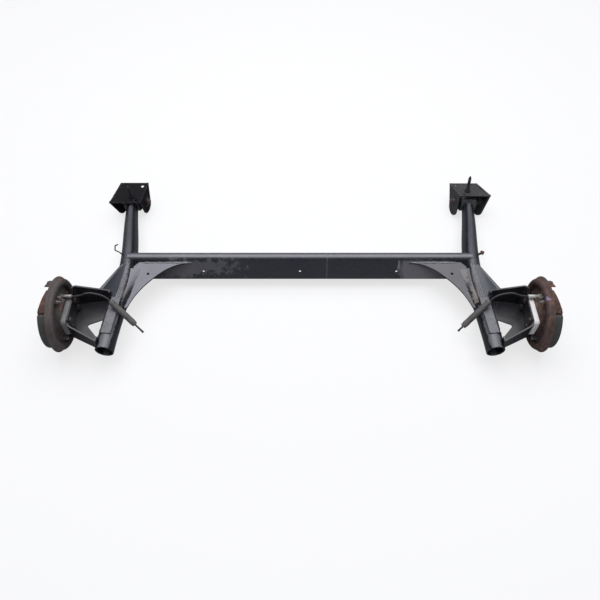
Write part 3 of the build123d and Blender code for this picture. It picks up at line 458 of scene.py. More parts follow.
# Gloss black, with the pale blotches, scrape and scratch that the beam's rear face has.
BEAM = Finish(
    "beam_black_paint", (0.025, 0.026, 0.032), (0.034, 0.035, 0.043), nodes="crossbeam", roughness=0.24,
    coat=0.35, dust=0.42, wear=0.34, scuffs=0.38, marks=(
        Mark((-0.300, FACE_Y, 0.082), (0.085, 0.05, 0.026), (0.095, 0.095, 0.106), 2.6, 42.0, 0.8),
        Mark((-0.400, FACE_Y, 0.070), (0.060, 0.05, 0.030), (0.092, 0.088, 0.095), 1.4, 30.0, 0.7),
        Mark((0.405, FACE_Y, 0.066), (0.085, 0.05, 0.040), (0.145, 0.142, 0.155), 0.5, 24.0, 0.85),
        Mark((0.088, FACE_Y, 0.075), (0.0022, 0.05, 0.040), (0.10, 0.10, 0.11), 0.9, 90.0, 0.6),
        Mark((0.322, FACE_Y, 0.088), (0.0045, 0.05, 0.016), (0.17, 0.17, 0.17), 1.4, 120.0, 0.9)))
PAINT = Finish("black_paint", BLACK, BLUE_BLACK, nodes="brace*", roughness=0.22, coat=0.25, dust=0.40,
               wear=0.36, scuffs=0.42)
# The left gusset's near-black mark by the beam is painted shade: the shade in a hollow of the gusset's
# relief.
GUSSET_LEFT = Finish(
    "gusset_left_paint", BLACK, BLUE_BLACK, nodes="gusset_left", roughness=0.3, coat=0.3, dust=0.80,
    wear=0.3, scuffs=0.35, dust_colour=(0.20, 0.197, 0.22), marks=(
        Mark((-0.466, WHEEL_Y + 0.164, 0.098), (0.026, 0.0034, 0.010), (0.008, 0.008, 0.010), 0.5),))
GUSSET_RIGHT = Finish(
    "gusset_right_paint", BLACK, BLUE_BLACK, nodes="gusset_right", roughness=0.34, coat=0.2, dust=0.50,
    wear=0.3, scuffs=0.45, dust_colour=(0.17, 0.166, 0.175))
FINISHES = (
    BEAM,
    PAINT,
    GUSSET_LEFT,
    replace(GUSSET_LEFT, name="apron_left_paint", nodes="", marks=()),
    GUSSET_RIGHT,
    replace(
        GUSSET_RIGHT, name="apron_right_paint", nodes="", dust=0.40,
        marks=(
            Mark((0.518, WHEEL_Y + 0.160, 0.102), (0.017, 0.030, 0.014), (0.17, 0.155, 0.135), 2.0, 70.0,
                 0.9),
            Mark((0.546, WHEEL_Y + 0.076, 0.104), (0.010, 0.034, 0.012), (0.19, 0.165, 0.14), 1.6, 80.0,
                 0.9))),
    Finish(
        "brace_right_paint", (0.010, 0.012, 0.018), (0.015, 0.018, 0.028), roughness=0.26, coat=0.2,
        dust=0.26, wear=0.36, scuffs=0.3, dust_colour=(0.13, 0.135, 0.16)),
    Finish(
        "brace_left_paint", (0.007, 0.009, 0.016), (0.010, 0.013, 0.024), roughness=0.34, dust=0.10,
        wear=0.36, scuffs=0.25, dust_colour=(0.10, 0.105, 0.13), specular=0.3),
    # The arms' black paint. The pale mark on the top of each arm behind the wheel axis is a painted
    # highlight: the soft box's reflection in the flat top, not a colour of the paint.
    replace(
        PAINT, name="arm_paint", nodes="trailing_arm*", coat=0.22, dust=0.30,
        marks=tuple(Mark((side.value * 0.572, WHEEL_Y - 0.050, 0.114), (0.024, 0.085, 0.007),
                         (0.105, 0.104, 0.113), 1.1, 34.0, 0.9) for side in Side)),
    Finish(
        "tray_paint", BLACK, (0.03, 0.026, 0.024), nodes="hub_bracket*", cloudiness=0.6,
        roughness=0.26, coat=0.1, dust=0.11, wear=0.36, scuffs=0.34, dust_colour=(0.14, 0.13, 0.13)),
    Finish(
        "bracket_right_paint", (0.030, 0.029, 0.030), (0.05, 0.047, 0.046),
        nodes="mounting_bracket_right", cloudiness=0.6, roughness=0.5, dust=0.16, wear=0.30,
        scuffs=0.35, rust=0.16, rust_scale=26.0, dust_colour=(0.10, 0.095, 0.095), soft_edge=0.0045),
    Finish(
        "bracket_left_paint", (0.006, 0.006, 0.008), (0.012, 0.011, 0.012),
        nodes="mounting_bracket_left", cloudiness=0.5, roughness=0.6, wear=0.34, scuffs=0.3,
        specular=0.12, soft_edge=0.0045),
    Finish(
        "bush_paint", (0.05, 0.05, 0.055), (0.09, 0.088, 0.09), nodes="bush_housing*",
        cloudiness=0.6, roughness=0.45, dust=0.5, wear=0.3, dust_colour=(0.16, 0.16, 0.17)),
    # The right hub plate's near-white colour is painted glare: it is the same plate as the grey left one,
    # drawn as if the lamps washed it out.
    Finish(
        "hub_plate_pale", (0.84, 0.83, 0.82), (0.70, 0.69, 0.68), nodes="hub_plate_right",
        cloudiness=0.6, roughness=0.45, wear=0.45, wear_colour=(0.75, 0.74, 0.73), rust=0.05,
        rust_scale=45.0, warmth=0.7),
    Finish(
        "hub_plate_grey", (0.16, 0.155, 0.155), (0.22, 0.215, 0.21),
        nodes="hub_plate_left plate_plugs", cloudiness=0.7, roughness=0.5, wear=0.45,
        wear_colour=(0.33, 0.32, 0.32), rust=0.12, rust_scale=45.0, warmth=0.7),
    Finish(
        "backing_left", (0.074, 0.060, 0.056), (0.135, 0.112, 0.105), nodes="backing_plate_left",
        cloudiness=0.7, roughness=0.62, rust=0.36, rust_scale=20.0, warmth=0.75, grain=0.5),
    Finish(
        "backing_right", (0.064, 0.040, 0.038), (0.115, 0.078, 0.070), nodes="backing_plate_right",
        cloudiness=0.7, roughness=0.66, rust=0.50, rust_scale=34.0, warmth=0.9, grain=0.5,
        marks=(
            Mark((0.7120, WHEEL_Y - 0.015, 0.212), (0.014, 0.008, 0.012), (0.38, 0.30, 0.52), 0.25, 90.0,
                 0.9),
            Mark((0.7080, WHEEL_Y + 0.020, 0.160), (0.02, 0.030, 0.030), (0.30, 0.18, 0.12), 2.2, 110.0,
                 0.75))),
    Finish(
        "shoe_steel", (0.055, 0.040, 0.034), (0.10, 0.065, 0.05), nodes="rear_shoe* front_shoe*",
        cloudiness=0.7, roughness=0.7, rust=0.55, rust_scale=34.0, grain=0.4),
    Finish(
        "friction_lining", (0.052, 0.054, 0.050), (0.075, 0.077, 0.070),
        nodes="rear_lining* front_lining*", cloudiness=0.6, cloud_scale=40.0, roughness=0.82,
        grain=1.0, grain_scale=700.0, dust=0.15, dust_colour=(0.13, 0.12, 0.11)),
    Finish(
        "cylinder_iron", (0.060, 0.048, 0.042), (0.11, 0.085, 0.07),
        nodes="wheel_cylinder* anchor_block*", roughness=0.7, rust=0.45, grain=0.8),
    Finish(
        "ground_steel", (0.42, 0.42, 0.43), (0.34, 0.33, 0.32), nodes="stub_axle*", metallic=1.0,
        roughness=0.28, rust=0.14, rust_scale=50.0, grain=0.2),
    Finish(
        "zinc_plate", (0.42, 0.41, 0.38), (0.27, 0.26, 0.23),
        nodes="bush_sleeve* adjuster_strut* cable_ferrule_left bleed_fittings hold_downs",
        metallic=0.85, roughness=0.42, cloudiness=0.7, cloud_scale=60.0, rust=0.20, rust_scale=90.0),
    Finish(
        "bright_zinc", (0.66, 0.65, 0.62), (0.46, 0.45, 0.42), nodes="cable_ferrule_right",
        metallic=0.5, roughness=0.4, cloudiness=0.6, cloud_scale=60.0, rust=0.1, rust_scale=90.0),
    Finish(
        "dark_fastener", (0.045, 0.036, 0.032), (0.10, 0.075, 0.06), nodes="hub_bolts",
        cloudiness=0.7, cloud_scale=50.0, metallic=0.3, roughness=0.55, rust=0.34, rust_scale=90.0,
        warmth=0.7),
    Finish(
        "rusty_fastener", (0.20, 0.13, 0.10), (0.12, 0.07, 0.05),
        nodes="pivot_bolt* pivot_nut* clip_bolt_right", metallic=0.4, roughness=0.6, rust=0.6,
        rust_scale=90.0),
    Finish(
        "black_rubber", (0.020, 0.020, 0.021), (0.034, 0.033, 0.032),
        nodes="bush_rubber* cylinder_boots", roughness=0.62, dust=0.35,
        dust_colour=(0.11, 0.105, 0.10), grain=0.4),
    Finish(
        "sleeve_rubber", (0.080, 0.075, 0.072), (0.135, 0.12, 0.11), nodes="cable_sleeve*",
        cloudiness=0.8, cloud_scale=30.0, roughness=0.6, grain=0.5, dust=0.25,
        dust_colour=(0.20, 0.18, 0.165)),
    Finish(
        "cable_cover", (0.016, 0.016, 0.020), (0.030, 0.030, 0.034), nodes="handbrake_cable*",
        roughness=0.4, dust=0.2, dust_colour=(0.07, 0.07, 0.075)),
    Finish(
        "dark_wire", (0.045, 0.045, 0.046), (0.08, 0.078, 0.075),
        nodes="body_stud* return_springs* cable_wire* pipe_hook_left", metallic=0.6, roughness=0.45,
        rust=0.12, rust_scale=120.0),
    Finish(
        "weld_pale", (0.24, 0.236, 0.242), (0.10, 0.098, 0.10), cloudiness=0.7, cloud_scale=120.0,
        roughness=0.42, coat=0.1, rust=0.2, rust_scale=80.0, grain=1.0, soft_edge=0.0004),
    Finish(
        "weld_brown", (0.085, 0.074, 0.066), (0.03, 0.028, 0.028), cloudiness=0.9, cloud_scale=90.0,
        roughness=0.5, rust=0.3, rust_scale=60.0, warmth=0.7, grain=1.0, soft_edge=0.0004),
    Finish(
        "weld_seam", (0.035, 0.035, 0.038), (0.085, 0.078, 0.072), cloudiness=0.8, cloud_scale=70.0,
        roughness=0.35, coat=0.2, dust=0.5, rust=0.14, rust_scale=80.0, grain=1.0, soft_edge=0.0004),
)


class Dresser:
    """Puts finishes on CAD nodes and on new pieces."""

    def __init__(self) -> None:
        """Build the shared effects and every material."""
        effects = Effects.build()
        self.materials = {finish.name: finish.material(effects) for finish in FINISHES}

    def dress_nodes(self) -> None:
        """Give every CAD node its finish."""
        chosen = {name.replace("*", f"_{side.word}"): finish.name for finish in FINISHES
                  for name in finish.nodes.split() for side in Side}
        for name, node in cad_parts.items():
            node.data.materials.clear()
            node.data.materials.append(self.materials[chosen[name]])
        log.info("dressed %d nodes", len(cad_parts))

    def add_piece(self, name: str, skin: Skin, finish: str, body: str = "axle",
                  smooth: bool = True) -> bpy.types.Object:
        """Make a mesh piece, dress it and let it ride on a body.

        Args:
            name: the piece's name.
            skin: its vertices in metres, and the indices of each face.
            finish: the name of its finish.
            body: the body that it moves with.
            smooth: whether its faces are shaded smooth.

        Returns:
            The new object.
        """
        mesh = bpy.data.meshes.new(name)
        mesh.from_pydata(skin[0].tolist(), [], skin[1])
        mesh.polygons.foreach_set("use_smooth", np.full(len(mesh.polygons), smooth))
        mesh.materials.append(self.materials[finish])
        mesh.update()
        piece = add_object(name, mesh)
        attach(piece, body)
        log.info("%s: %d faces", name, len(mesh.polygons))
        return piece


def grid_faces(rows: int, columns: int, looped: bool = False) -> np.ndarray:
    """Quads of a grid of points whose columns close on themselves.

    Args:
        rows: the number of rows of points.
        columns: the number of points in a row.
        looped: whether the last row joins the first too.

    Returns:
        One row of four indices for each quad.
    """
    row, column = np.meshgrid(np.arange(rows if looped else rows - 1), np.arange(columns), indexing="ij")
    across = (column + 1) % columns
    after = (row + 1) % rows
    quads = np.stack([row * columns + column, row * columns + across, after * columns + across,
                      after * columns + column], axis=-1)
    return quads.reshape(-1, 4)


def outward(points: np.ndarray, quads: np.ndarray, caps: np.ndarray) -> list[list[int]]:
    """List a closed surface's faces, turned so that they face outwards.

    The volume is the sum of the tetrahedra from the origin to each triangle; when it comes out
    below nought, the faces are turned round.

    Args:
        points: the vertices.
        quads: four indices a row.
        caps: three indices a row.

    Returns:
        The indices of each face.
    """
    triangles = np.concatenate([quads[:, :3], quads[:, [0, 2, 3]], caps])
    one, two, three = (points[triangles[:, place]] for place in range(3))
    volume = np.einsum("ij,ij->", one, np.cross(two, three))
    listed = quads.tolist() + caps.tolist()
    return listed if volume > 0 else [face[::-1] for face in listed]


def closed_skin(rings: np.ndarray) -> Skin:
    """Join rings of points in order, with each end closed by a fan to its ring's middle.

    Args:
        rings: an array of rings, points in a ring, and three coordinates.

    Returns:
        Points and faces.
    """
    rows, count = rings.shape[:2]
    points = np.concatenate([rings.reshape(-1, 3), rings[[0, -1]].mean(axis=1)])
    column = np.arange(count)
    after, base = (column + 1) % count, (rows - 1) * count
    first, last = np.full(count, rows * count), np.full(count, rows * count + 1)
    caps = np.concatenate([np.column_stack([after, column, first]),
                           np.column_stack([base + column, base + after, last])])
    return points, outward(points, grid_faces(rows, count), caps)


def about_wheel(side: Side, x: np.ndarray, radius: np.ndarray, angle: np.ndarray) -> np.ndarray:
    """Points about the wheel axis: (x, radius cos a, radius sin a), with a taken from the front.

    Args:
        side: the end of the axle.
        x: millimetres outwards from the middle of the car.
        radius: millimetres from the wheel axis.
        angle: the angle a, in radians.

    Returns:
        A grid of points, in metres of the shared frame.
    """
    x, radius, angle = np.broadcast_arrays(x, radius, angle)
    return np.stack([side.value * x * MM, WHEEL_Y + radius * np.cos(angle) * MM,
                     (WHEEL_Z + radius * np.sin(angle)) * MM], axis=-1)


def smooth_path(points: np.ndarray, count: int) -> np.ndarray:
    """A smooth line through a few points: a cubic whose slope at each point is half the step
    between its two neighbours, read at evenly spaced parameters.

    Args:
        points: the points, one a row.
        count: how many points the line gets.

    Returns:
        The line's points.
    """
    padded = np.vstack([2 * points[0] - points[1], points, 2 * points[-1] - points[-2]])
    place = np.linspace(0, len(points) - 1 - 1e-9, count)
    span = place.astype(int)
    t = (place - span)[:, None]
    before, start, end, after = (padded[span + step] for step in range(4))
    return 0.5 * (2 * start + (end - before) * t + (2 * before - 5 * start + 4 * end - after) * t**2
                  + (3 * start - before - 3 * end + after) * t**3)


def tube_along(path: np.ndarray, radius: np.ndarray, around: int, flat: float = 1.0,
               up: Point = (0.0, 0.0, 1.0)) -> Skin:
    """A round or oval section carried along a path and closed to a point at both ends.

    Each ring is path + radius (cos a, flat sin a) on the two directions across the path, of which
    the first is square to both the path and up.

    Args:
        path: the middle line.
        radius: the radius at each of its points.
        around: points round a ring.
        flat: the section's second radius as a share of the first.
        up: a direction that the section's flat side follows.

    Returns:
        Points and faces.
    """
    along = np.gradient(path, axis=0)
    along /= np.linalg.norm(along, axis=1)[:, None]
    across = np.cross(np.array(up), along)
    across /= np.linalg.norm(across, axis=1)[:, None]
    over = np.cross(along, across)
    angle = np.linspace(0, 2 * math.pi, around, endpoint=False)
    ring = (np.cos(angle)[None, :, None] * across[:, None, :]
            + flat * np.sin(angle)[None, :, None] * over[:, None, :])
    return closed_skin(path[:, None, :] + radius[:, None, None] * ring)


@dataclass(frozen=True)
class SoftBox:
    """A soft box that faces the axle, given by its bearing round the axle and its height."""

    name: str
    bearing: float
    elevation: float
    distance: float
    size: Pair
    power: float
    colour: Colour = (0.97, 0.97, 1.0)
    aim: Point = (0.0, 0.0, 0.1)

    def build(self) -> None:
        """Hang the lamp with its long side level; a bearing of 0 is the axle's front."""
        lamp = bpy.data.lights.new(self.name, "AREA")
        lamp.shape = "RECTANGLE"
        lamp.size, lamp.size_y = self.size
        lamp.energy = self.power
        lamp.color = self.colour
        turn, lift = math.radians(self.bearing), math.radians(self.elevation)
        away = (math.sin(turn) * math.cos(lift), math.cos(turn) * math.cos(lift), math.sin(lift))
        holder = add_object(self.name, lamp)
        holder.location = [start + self.distance * step for start, step in zip(self.aim, away)]
        holder.rotation_euler = (lift - math.pi / 2, 0.0, -turn)


@dataclass
class Studio:
    """The floor, the lamps and the camera."""

    elevation: float = 55.0
    camera_place: Point = (0.0, -1.2778, 1.6765)
    lens: float = 37.2
    sensor: float = 36.0
    floor_size: float = 40.0
    floor_glow: float = 0.72
    floor_mirror: float = 0.22
    boxes: tuple[SoftBox, ...] = (
        SoftBox("soft_box_front", 0.0, 55.0, 3.6, (4.0, 1.3), 46.0),
        SoftBox("soft_box_above", 0.0, 88.0, 3.2, (3.4, 2.4), 85.0),
        SoftBox("soft_box_right", 55.0, 16.0, 1.7, (1.8, 0.8), 0.5, aim=(0.6, 0.1, 0.1)),
        SoftBox("soft_box_left", -55.0, 16.0, 1.7, (1.8, 0.8), 0.5, aim=(-0.6, 0.1, 0.1)),
    )
    sky_bands: tuple[tuple[float, Colour], ...] = (
        (0.00, (0.34, 0.355, 0.42)),
        (0.14, (0.12, 0.125, 0.155)),
        (0.24, (0.05, 0.052, 0.065)),
        (0.60, (0.05, 0.052, 0.065)),
        (0.72, (0.34, 0.36, 0.42)),
        (1.00, (0.60, 0.62, 0.68)),
    )

    def build(self) -> None:
        """Make the stage, the light and the camera, and choose the plain view transform."""
        self._floor()
        self._sky()
        for box in self.boxes:
            box.build()
        self._camera()
        bpy.context.scene.view_settings.view_transform = "Standard"
        log.info("studio built")

    def _floor(self) -> None:
        """A pale floor that glows a little to the camera and less in reflections, its shadow kept."""
        half = self.floor_size / 2
        mesh = bpy.data.meshes.new("floor")
        mesh.from_pydata([(-half, -half, 0), (half, -half, 0), (half, half, 0), (-half, half, 0)], [],
                         [(0, 1, 2, 3)])
        floor = add_object("floor", mesh)
        made = bpy.data.materials.new("pale_floor")
        sketch = ShaderSketch.afresh(made)
        plain = sketch.node("BsdfDiffuse", Color=(0.86, 0.86, 0.87)).outputs[0]
        white = sketch.node("Emission", Color=(1.0, 1.0, 1.0)).outputs[0]
        grey = sketch.node("BsdfDiffuse", Color=(self.floor_mirror,) * 3).outputs[0]
        ray = sketch.node("LightPath").outputs
        glowing = sketch.shade(sketch.times(ray["Is Camera Ray"], self.floor_glow), plain, white)
        mirrored = sketch.shade(ray["Is Glossy Ray"], glowing, grey)
        sketch.node("OutputMaterial", Surface=mirrored)
        mesh.materials.append(made)

    def _sky(self) -> None:
        """A soft sky in bands: pale at the horizon, dim above it and brighter overhead."""
        world = bpy.data.worlds.new("studio")
        bpy.context.scene.world = world
        sketch = ShaderSketch.afresh(world)
        height = sketch.node("SeparateXYZ", Vector=sketch.node("TexCoord").outputs["Generated"])
        bands = sketch.node("ValToRGB", Fac=height.outputs["Z"])
        colour_stops(bands, self.sky_bands)
        light = sketch.node("Background", Color=bands.outputs["Color"])
        sketch.node("OutputWorld", Surface=light.outputs[0])

    def _camera(self) -> None:
        """The camera at the photograph's angle."""
        data = bpy.data.cameras.new("camera")
        data.sensor_width = self.sensor
        data.lens = self.lens
        camera = add_object("camera", data)
        camera.location = self.camera_place
        camera.rotation_euler = (math.radians(90.0 - self.elevation), 0.0, 0.0)
        bpy.context.scene.camera = camera


@dataclass
class CableSleeve:
    """The rubber sleeve at the end of a handbrake cable, with the bare wire that leaves it.

    The sizes are in millimetres, and the pairs hold the right side's value first.
    """

    side: Side
    start: Point = (573.0, 29.0, 143.0)
    toward: Point = (501.0, -20.0, 86.0)
    radius: float = 9.3
    neck: float = 7.2
    swell_length: float = 9.0
    arch: float = 2.0
    lengths: Pair = (111.0, 103.0)
    wire_lengths: Pair = (19.0, 33.0)
    wire_radius: float = 2.8
    wire_sunk: float = 3.0
    wire_droop: float = 1.5

    def _line(self, reach: np.ndarray) -> np.ndarray:
        """Points on the sleeve's straight line, at distances from its start in metres."""
        start, toward = spot(self.side, *self.start), spot(self.side, *self.toward)
        return start + (toward - start) / np.linalg.norm(toward - start) * reach[:, None]

    def build_wire(self, dresser: Dresser) -> bpy.types.Object:
        """Make the bare wire, with a slight droop and a frayed tip."""
        share = np.linspace(0.0, 1.0, 40)
        sunk, length = self.wire_sunk * MM, self.wire_lengths[self.side.pick] * MM
        path = self._line(self.lengths[self.side.pick] * MM - sunk + share * (length + sunk))
        path[:, 2] -= self.wire_droop * MM * share ** 2
        radius = self.wire_radius * (1.0 + 0.08 * np.sin(share * 60.0) + 0.25 * share ** 6) * MM
        word = self.side.word
        piece = dresser.add_piece(f"bare_wire_{word}", tube_along(path, radius, around=16), "dark_wire")
        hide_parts(f"cable_wire_{word}")
        return piece

    def build(self, dresser: Dresser) -> bpy.types.Object:
        """Make the sleeve in place of its plain solid.

        Its radius is a neck that swells to the body over the first and last few millimetres, with
        a slow ripple along it, and its middle line arches up a little.
        """
        length = self.lengths[self.side.pick] * MM
        share = np.linspace(0.0, 1.0, 90)
        path = self._line(share * length)
        path[:, 2] += self.arch * MM * np.sin(math.pi * share)
        to_end = np.minimum(share, 1.0 - share) * length
        swell = np.clip(to_end / (self.swell_length * MM), 0.0, 1.0) ** 0.5
        wave = 1.0 + 0.02 * np.sin(share * 31.0) + 0.015 * np.sin(share * 77.0 + self.side.value)
        radius = (self.neck + (self.radius - self.neck) * swell) * wave * MM
        word = self.side.word
        piece = dresser.add_piece(f"rubber_sleeve_{word}", tube_along(path, radius, around=32),
                                  "sleeve_rubber")
        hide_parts(f"cable_sleeve_{word}")
        return piece


@dataclass
class HandbrakeCable:
    """One handbrake cable: a smooth cord from its ferrule to the rubber sleeve."""

    side: Side
    radius: float = 3.5
    length: float = 0.120
    route: tuple[Point, ...] = (
        (684.0, 34.0, 160.0),
        (664.0, 34.0, 160.0),
        (640.0, 41.5, 168.0),
        (612.0, 41.0, 163.5),
        (585.5, 37.5, 152.9),
        (573.0, 29.0, 143.0),
    )

    def build(self, dresser: Dresser) -> None:
        """Make the sleeve, its wire and the cord, a smooth curve on the route's points."""
        word = self.side.word
        end = CableSleeve(self.side)
        sleeve, wire = end.build(dresser), end.build_wire(dresser)
        curve = bpy.data.curves.new(f"cable_{word}", "CURVE")
        curve.dimensions = "3D"
        curve.bevel_depth = self.radius * MM
        curve.bevel_resolution = 6
        curve.resolution_u = 24
        curve.use_fill_caps = True
        line = curve.splines.new("NURBS")
        line.points.add(len(self.route) - 1)
        for point, place in zip(line.points, self.route):
            point.co = (*spot(self.side, *place), 1.0)
        line.order_u = 3
        line.use_endpoint_u = True
        curve.materials.append(dresser.materials["cable_cover"])
        cord = add_object(f"cable_{word}", curve)
        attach(cord, "axle")
        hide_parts(f"handbrake_cable_{word}")
        log.info("cable %s", word)


@dataclass(frozen=True)
class ArmLine:
    """The middle line and the half sizes of the trailing arm's tube, in millimetres."""

    stations: tuple[tuple[float, float, float, float, float], ...] = (
        (-112.0, 580.0, 85.0, 28.0, 28.0),
        (-5.0, 571.0, 88.0, 28.0, 28.0),
        (75.0, 564.0, 86.0, 28.0, 28.0),
        (235.0, 562.0, 80.0, 27.0, 28.0),
        (355.0, 578.0, 66.0, 25.0, 27.0),
        (455.0, 593.0, 55.0, 21.5, 25.5),
        (498.0, 598.0, 53.0, 20.0, 24.0),
    )

    def skin(self, side: Side, y: np.ndarray, turn: np.ndarray) -> np.ndarray:
        """Points on the tube: middle + (half width sin turn, half depth cos turn).

        Args:
            side: the end of the axle.
            y: places along the arm, in millimetres forward of the wheel axis.
            turn: angles from the top of the tube outwards, in degrees.

        Returns:
            The points, one a row, in metres.
        """
        table = np.array(self.stations)
        x, z, wide, deep = (np.interp(y, table[:, 0], table[:, column]) for column in range(1, 5))
        angle = np.radians(turn)
        return np.stack([side.value * (x + wide * np.sin(angle)) * MM, WHEEL_Y + y * MM,
                         (z + deep * np.cos(angle)) * MM], axis=-1)


@dataclass(frozen=True)
class WeldBead:
    """A weld bead that lies half sunk along a line, with its sizes in millimetres."""

    name: str
    line: np.ndarray
    width: float
    height: float
    finish: str = "weld_seam"
    ragged: float = 0.3
    wander: float = 0.8
    seed: int = 1
    spacing: float = 0.7
    scallop_length: float = 2.6
    scallop_depth: float = 0.18
    swing_length: float = 7.0
    drift_length: float = 5.0

    @staticmethod
    def _stray(random: np.random.Generator, place: np.ndarray, length: float) -> np.ndarray:
        """Random numbers from -1 to 1, one at each length, with straight lines between them."""
        knots = max(int(place[-1] / length), 4)
        return np.interp(place, np.linspace(0, place[-1], knots), random.uniform(-1, 1, knots))

    def build(self, dresser: Dresser) -> None:
        """Carry an oval section along the line.

        The section's size swings like the scallops of a hand weld, |sin| of the place over the
        scallop's length, times a slow random share, and its middle wanders sideways a little.
        """
        pace = np.linalg.norm(np.diff(self.line, axis=0), axis=1).sum() / MM
        path = smooth_path(self.line, max(int(pace / self.spacing), 24))
        place = np.linspace(0.0, pace, len(path))
        random = np.random.default_rng(self.seed)
        slow = self._stray(random, place, self.swing_length)
        drift = self._stray(random, place, self.drift_length)
        ripple = np.abs(np.sin(math.pi * place / self.scallop_length))
        scallop = 1.0 - self.scallop_depth + self.scallop_depth * ripple
        ends = np.clip(np.minimum(place, pace - place) / self.width, 0.15, 1.0) ** 0.5
        radius = self.width / 2 * MM * scallop * (1 + self.ragged * slow) * ends
        across = np.cross(np.gradient(path, axis=0), (0.0, 0.0, 1.0))
        across /= np.linalg.norm(across, axis=1)[:, None]
        path = path + across * (drift * self.wander * MM)[:, None]
        skin = tube_along(path, radius, around=14, flat=self.height / (self.width / 2))
        dresser.add_piece(self.name, skin, self.finish)


@dataclass(frozen=True)
class SheetBetween:
    """A sheet that spans two lines, with its sizes in millimetres."""

    name: str
    first: np.ndarray
    second: np.ndarray
    finish: str
    bulge: float
    ragged: float = 0.0
    seed: int = 1
    thickness: float = 3.0
    rows: int = 60
    columns: int = 10
    knots: int = 15

    def build(self, dresser: Dresser) -> None:
        """Lay the sheet: (1 - t) first + t second + bulge sin(pi t), with its underside below it.

        A ragged sheet has its two edges moved along t by slow random steps.
        """
        steps = np.random.default_rng(self.seed).uniform(-1, 1, (2, self.knots)) * self.ragged
        place = np.linspace(0, 1, self.rows)
        low, high = (np.interp(place, np.linspace(0, 1, self.knots), row) for row in steps)
        share = low[:, None] + (1.0 + high - low)[:, None] * np.linspace(0.0, 1.0, self.columns)[None, :]
        first, second = (smooth_path(line, self.rows)[:, None, :] for line in (self.first, self.second))
        top = first * (1 - share)[:, :, None] + second * share[:, :, None]
        top[:, :, 2] += self.bulge * MM * np.sin(math.pi * np.clip(share, 0, 1))
        under = top[:, ::-1, :] - np.array([0.0, 0.0, self.thickness * MM])
        dresser.add_piece(self.name, closed_skin(np.concatenate([top, under], axis=1)), self.finish,
                          smooth=False)


@dataclass(frozen=True)
class Welds:
    """The weld beads of one end of the axle, with the brace's web and the gusset's apron.

    Places are in millimetres. A turn is an angle from the arm's crown outwards, in degrees.
    """

    side: Side
    arm: ArmLine = ArmLine()
    seeds: tuple[int, int] = (10, 40)
    gusset_z: float = 98.0
    gusset_seam_y: float = 212.5
    gusset_seam_x: tuple[float, ...] = (362.0, 390.0, 420.0, 450.0, 480.0, 508.0)
    gusset_y: Pair = (182.0, 50.0)
    gusset_turn: float = -29.0
    apron_y: Pair = (184.0, 48.0)
    apron_foot: tuple[Pair, ...] = ((48.0, 538.0), (110.0, 527.0), (184.0, 514.0))
    ridge: tuple[Pair, ...] = ((574.0, 183.0), (588.0, 155.0), (604.0, 122.0), (621.0, 87.0))
    ridge_z: float = 113.0
    crown_y: tuple[float, ...] = (205.0, 155.0, 100.0, 50.0)
    crown_turn: tuple[float, ...] = (-21.0, -13.0, -4.0, 4.0)
    crown_lift: float = 1.5
    brace_y: Pair = (48.0, 205.0)
    brace_turn: Pair = (3.0, -22.0)
    brace_apart: float = 6.0
    tray_y: Pair = (60.0, -96.0)
    tray_turn: float = 86.0
    beam_y: tuple[float, ...] = (228.0, 236.0, 245.0, 254.0, 262.0)
    beam_turn: tuple[float, ...] = (-66.0, -48.0, -38.0, -48.0, -66.0)

    def _on_arm(self, y, turn) -> np.ndarray:
        """Points on the arm's tube; one turn serves for every place."""
        y = np.array(y)
        return self.arm.skin(self.side, y, np.array(turn) + 0.0 * y)

    def build(self, dresser: Dresser) -> None:
        """Lay every bead and sheet."""
        seed = self.seeds[self.side.pick]
        self._gusset(dresser, seed)
        self._brace(dresser, seed)
        word = self.side.word
        WeldBead(f"weld_tray_arm_{word}", self._on_arm(np.linspace(*self.tray_y, 6), self.tray_turn), 7.0,
                 3.0, seed=seed + 5).build(dresser)
        WeldBead(f"weld_beam_arm_{word}", self._on_arm(self.beam_y, self.beam_turn), 8.0, 2.4,
                 seed=seed + 6).build(dresser)

    def _gusset(self, dresser: Dresser, seed: int) -> None:
        """Lay the gusset's two beads, and its apron from the arm's shoulder down to the plate."""
        side, word = self.side, self.side.word
        seam = np.array([spot(side, x, self.gusset_seam_y, self.gusset_z + 0.5)
                         for x in self.gusset_seam_x])
        WeldBead(f"weld_gusset_beam_{word}", seam, 6.0, 2.2, "weld_pale", ragged=0.4, wander=1.2,
                 seed=seed).build(dresser)
        bead = self._on_arm(np.linspace(*self.gusset_y, 6), self.gusset_turn)
        WeldBead(f"weld_gusset_arm_{word}", bead, 5.0, 3.0, "weld_brown", ragged=0.45, wander=1.2,
                 seed=seed + 1).build(dresser)
        y = np.linspace(*self.apron_y, 7)
        foot = np.array([spot(side, x, place, self.gusset_z + 1.0) for x, place in
                         zip(np.interp(y, *zip(*self.apron_foot)), y)])
        SheetBetween(f"weld_apron_{word}", self._on_arm(y, self.gusset_turn - 1.0), foot,
                     f"apron_{word}_paint", bulge=1.5, ragged=0.10, seed=seed + 8).build(dresser)

    def _brace(self, dresser: Dresser, seed: int) -> None:
        """Lay the brace's web from the arm's crown to its ridge, and the two beads on the crown."""
        word = self.side.word
        ridge = np.array([spot(self.side, *place, self.ridge_z) for place in self.ridge])
        crown = self._on_arm(self.crown_y, self.crown_turn)
        crown[:, 2] += self.crown_lift * MM
        SheetBetween(f"brace_web_{word}", crown, ridge, f"brace_{word}_paint", bulge=1.0).build(dresser)
        y = np.linspace(*self.brace_y[::-1], 7)
        for number, offset in enumerate((-self.brace_apart, self.brace_apart)):
            turn = np.interp(y, self.brace_y, self.brace_turn) + offset
            WeldBead(f"weld_brace_arm_{word}_{number}", self._on_arm(y, turn), 4.6, 3.4, "weld_pale",
                     wander=0.6, seed=seed + 2 + number).build(dresser)


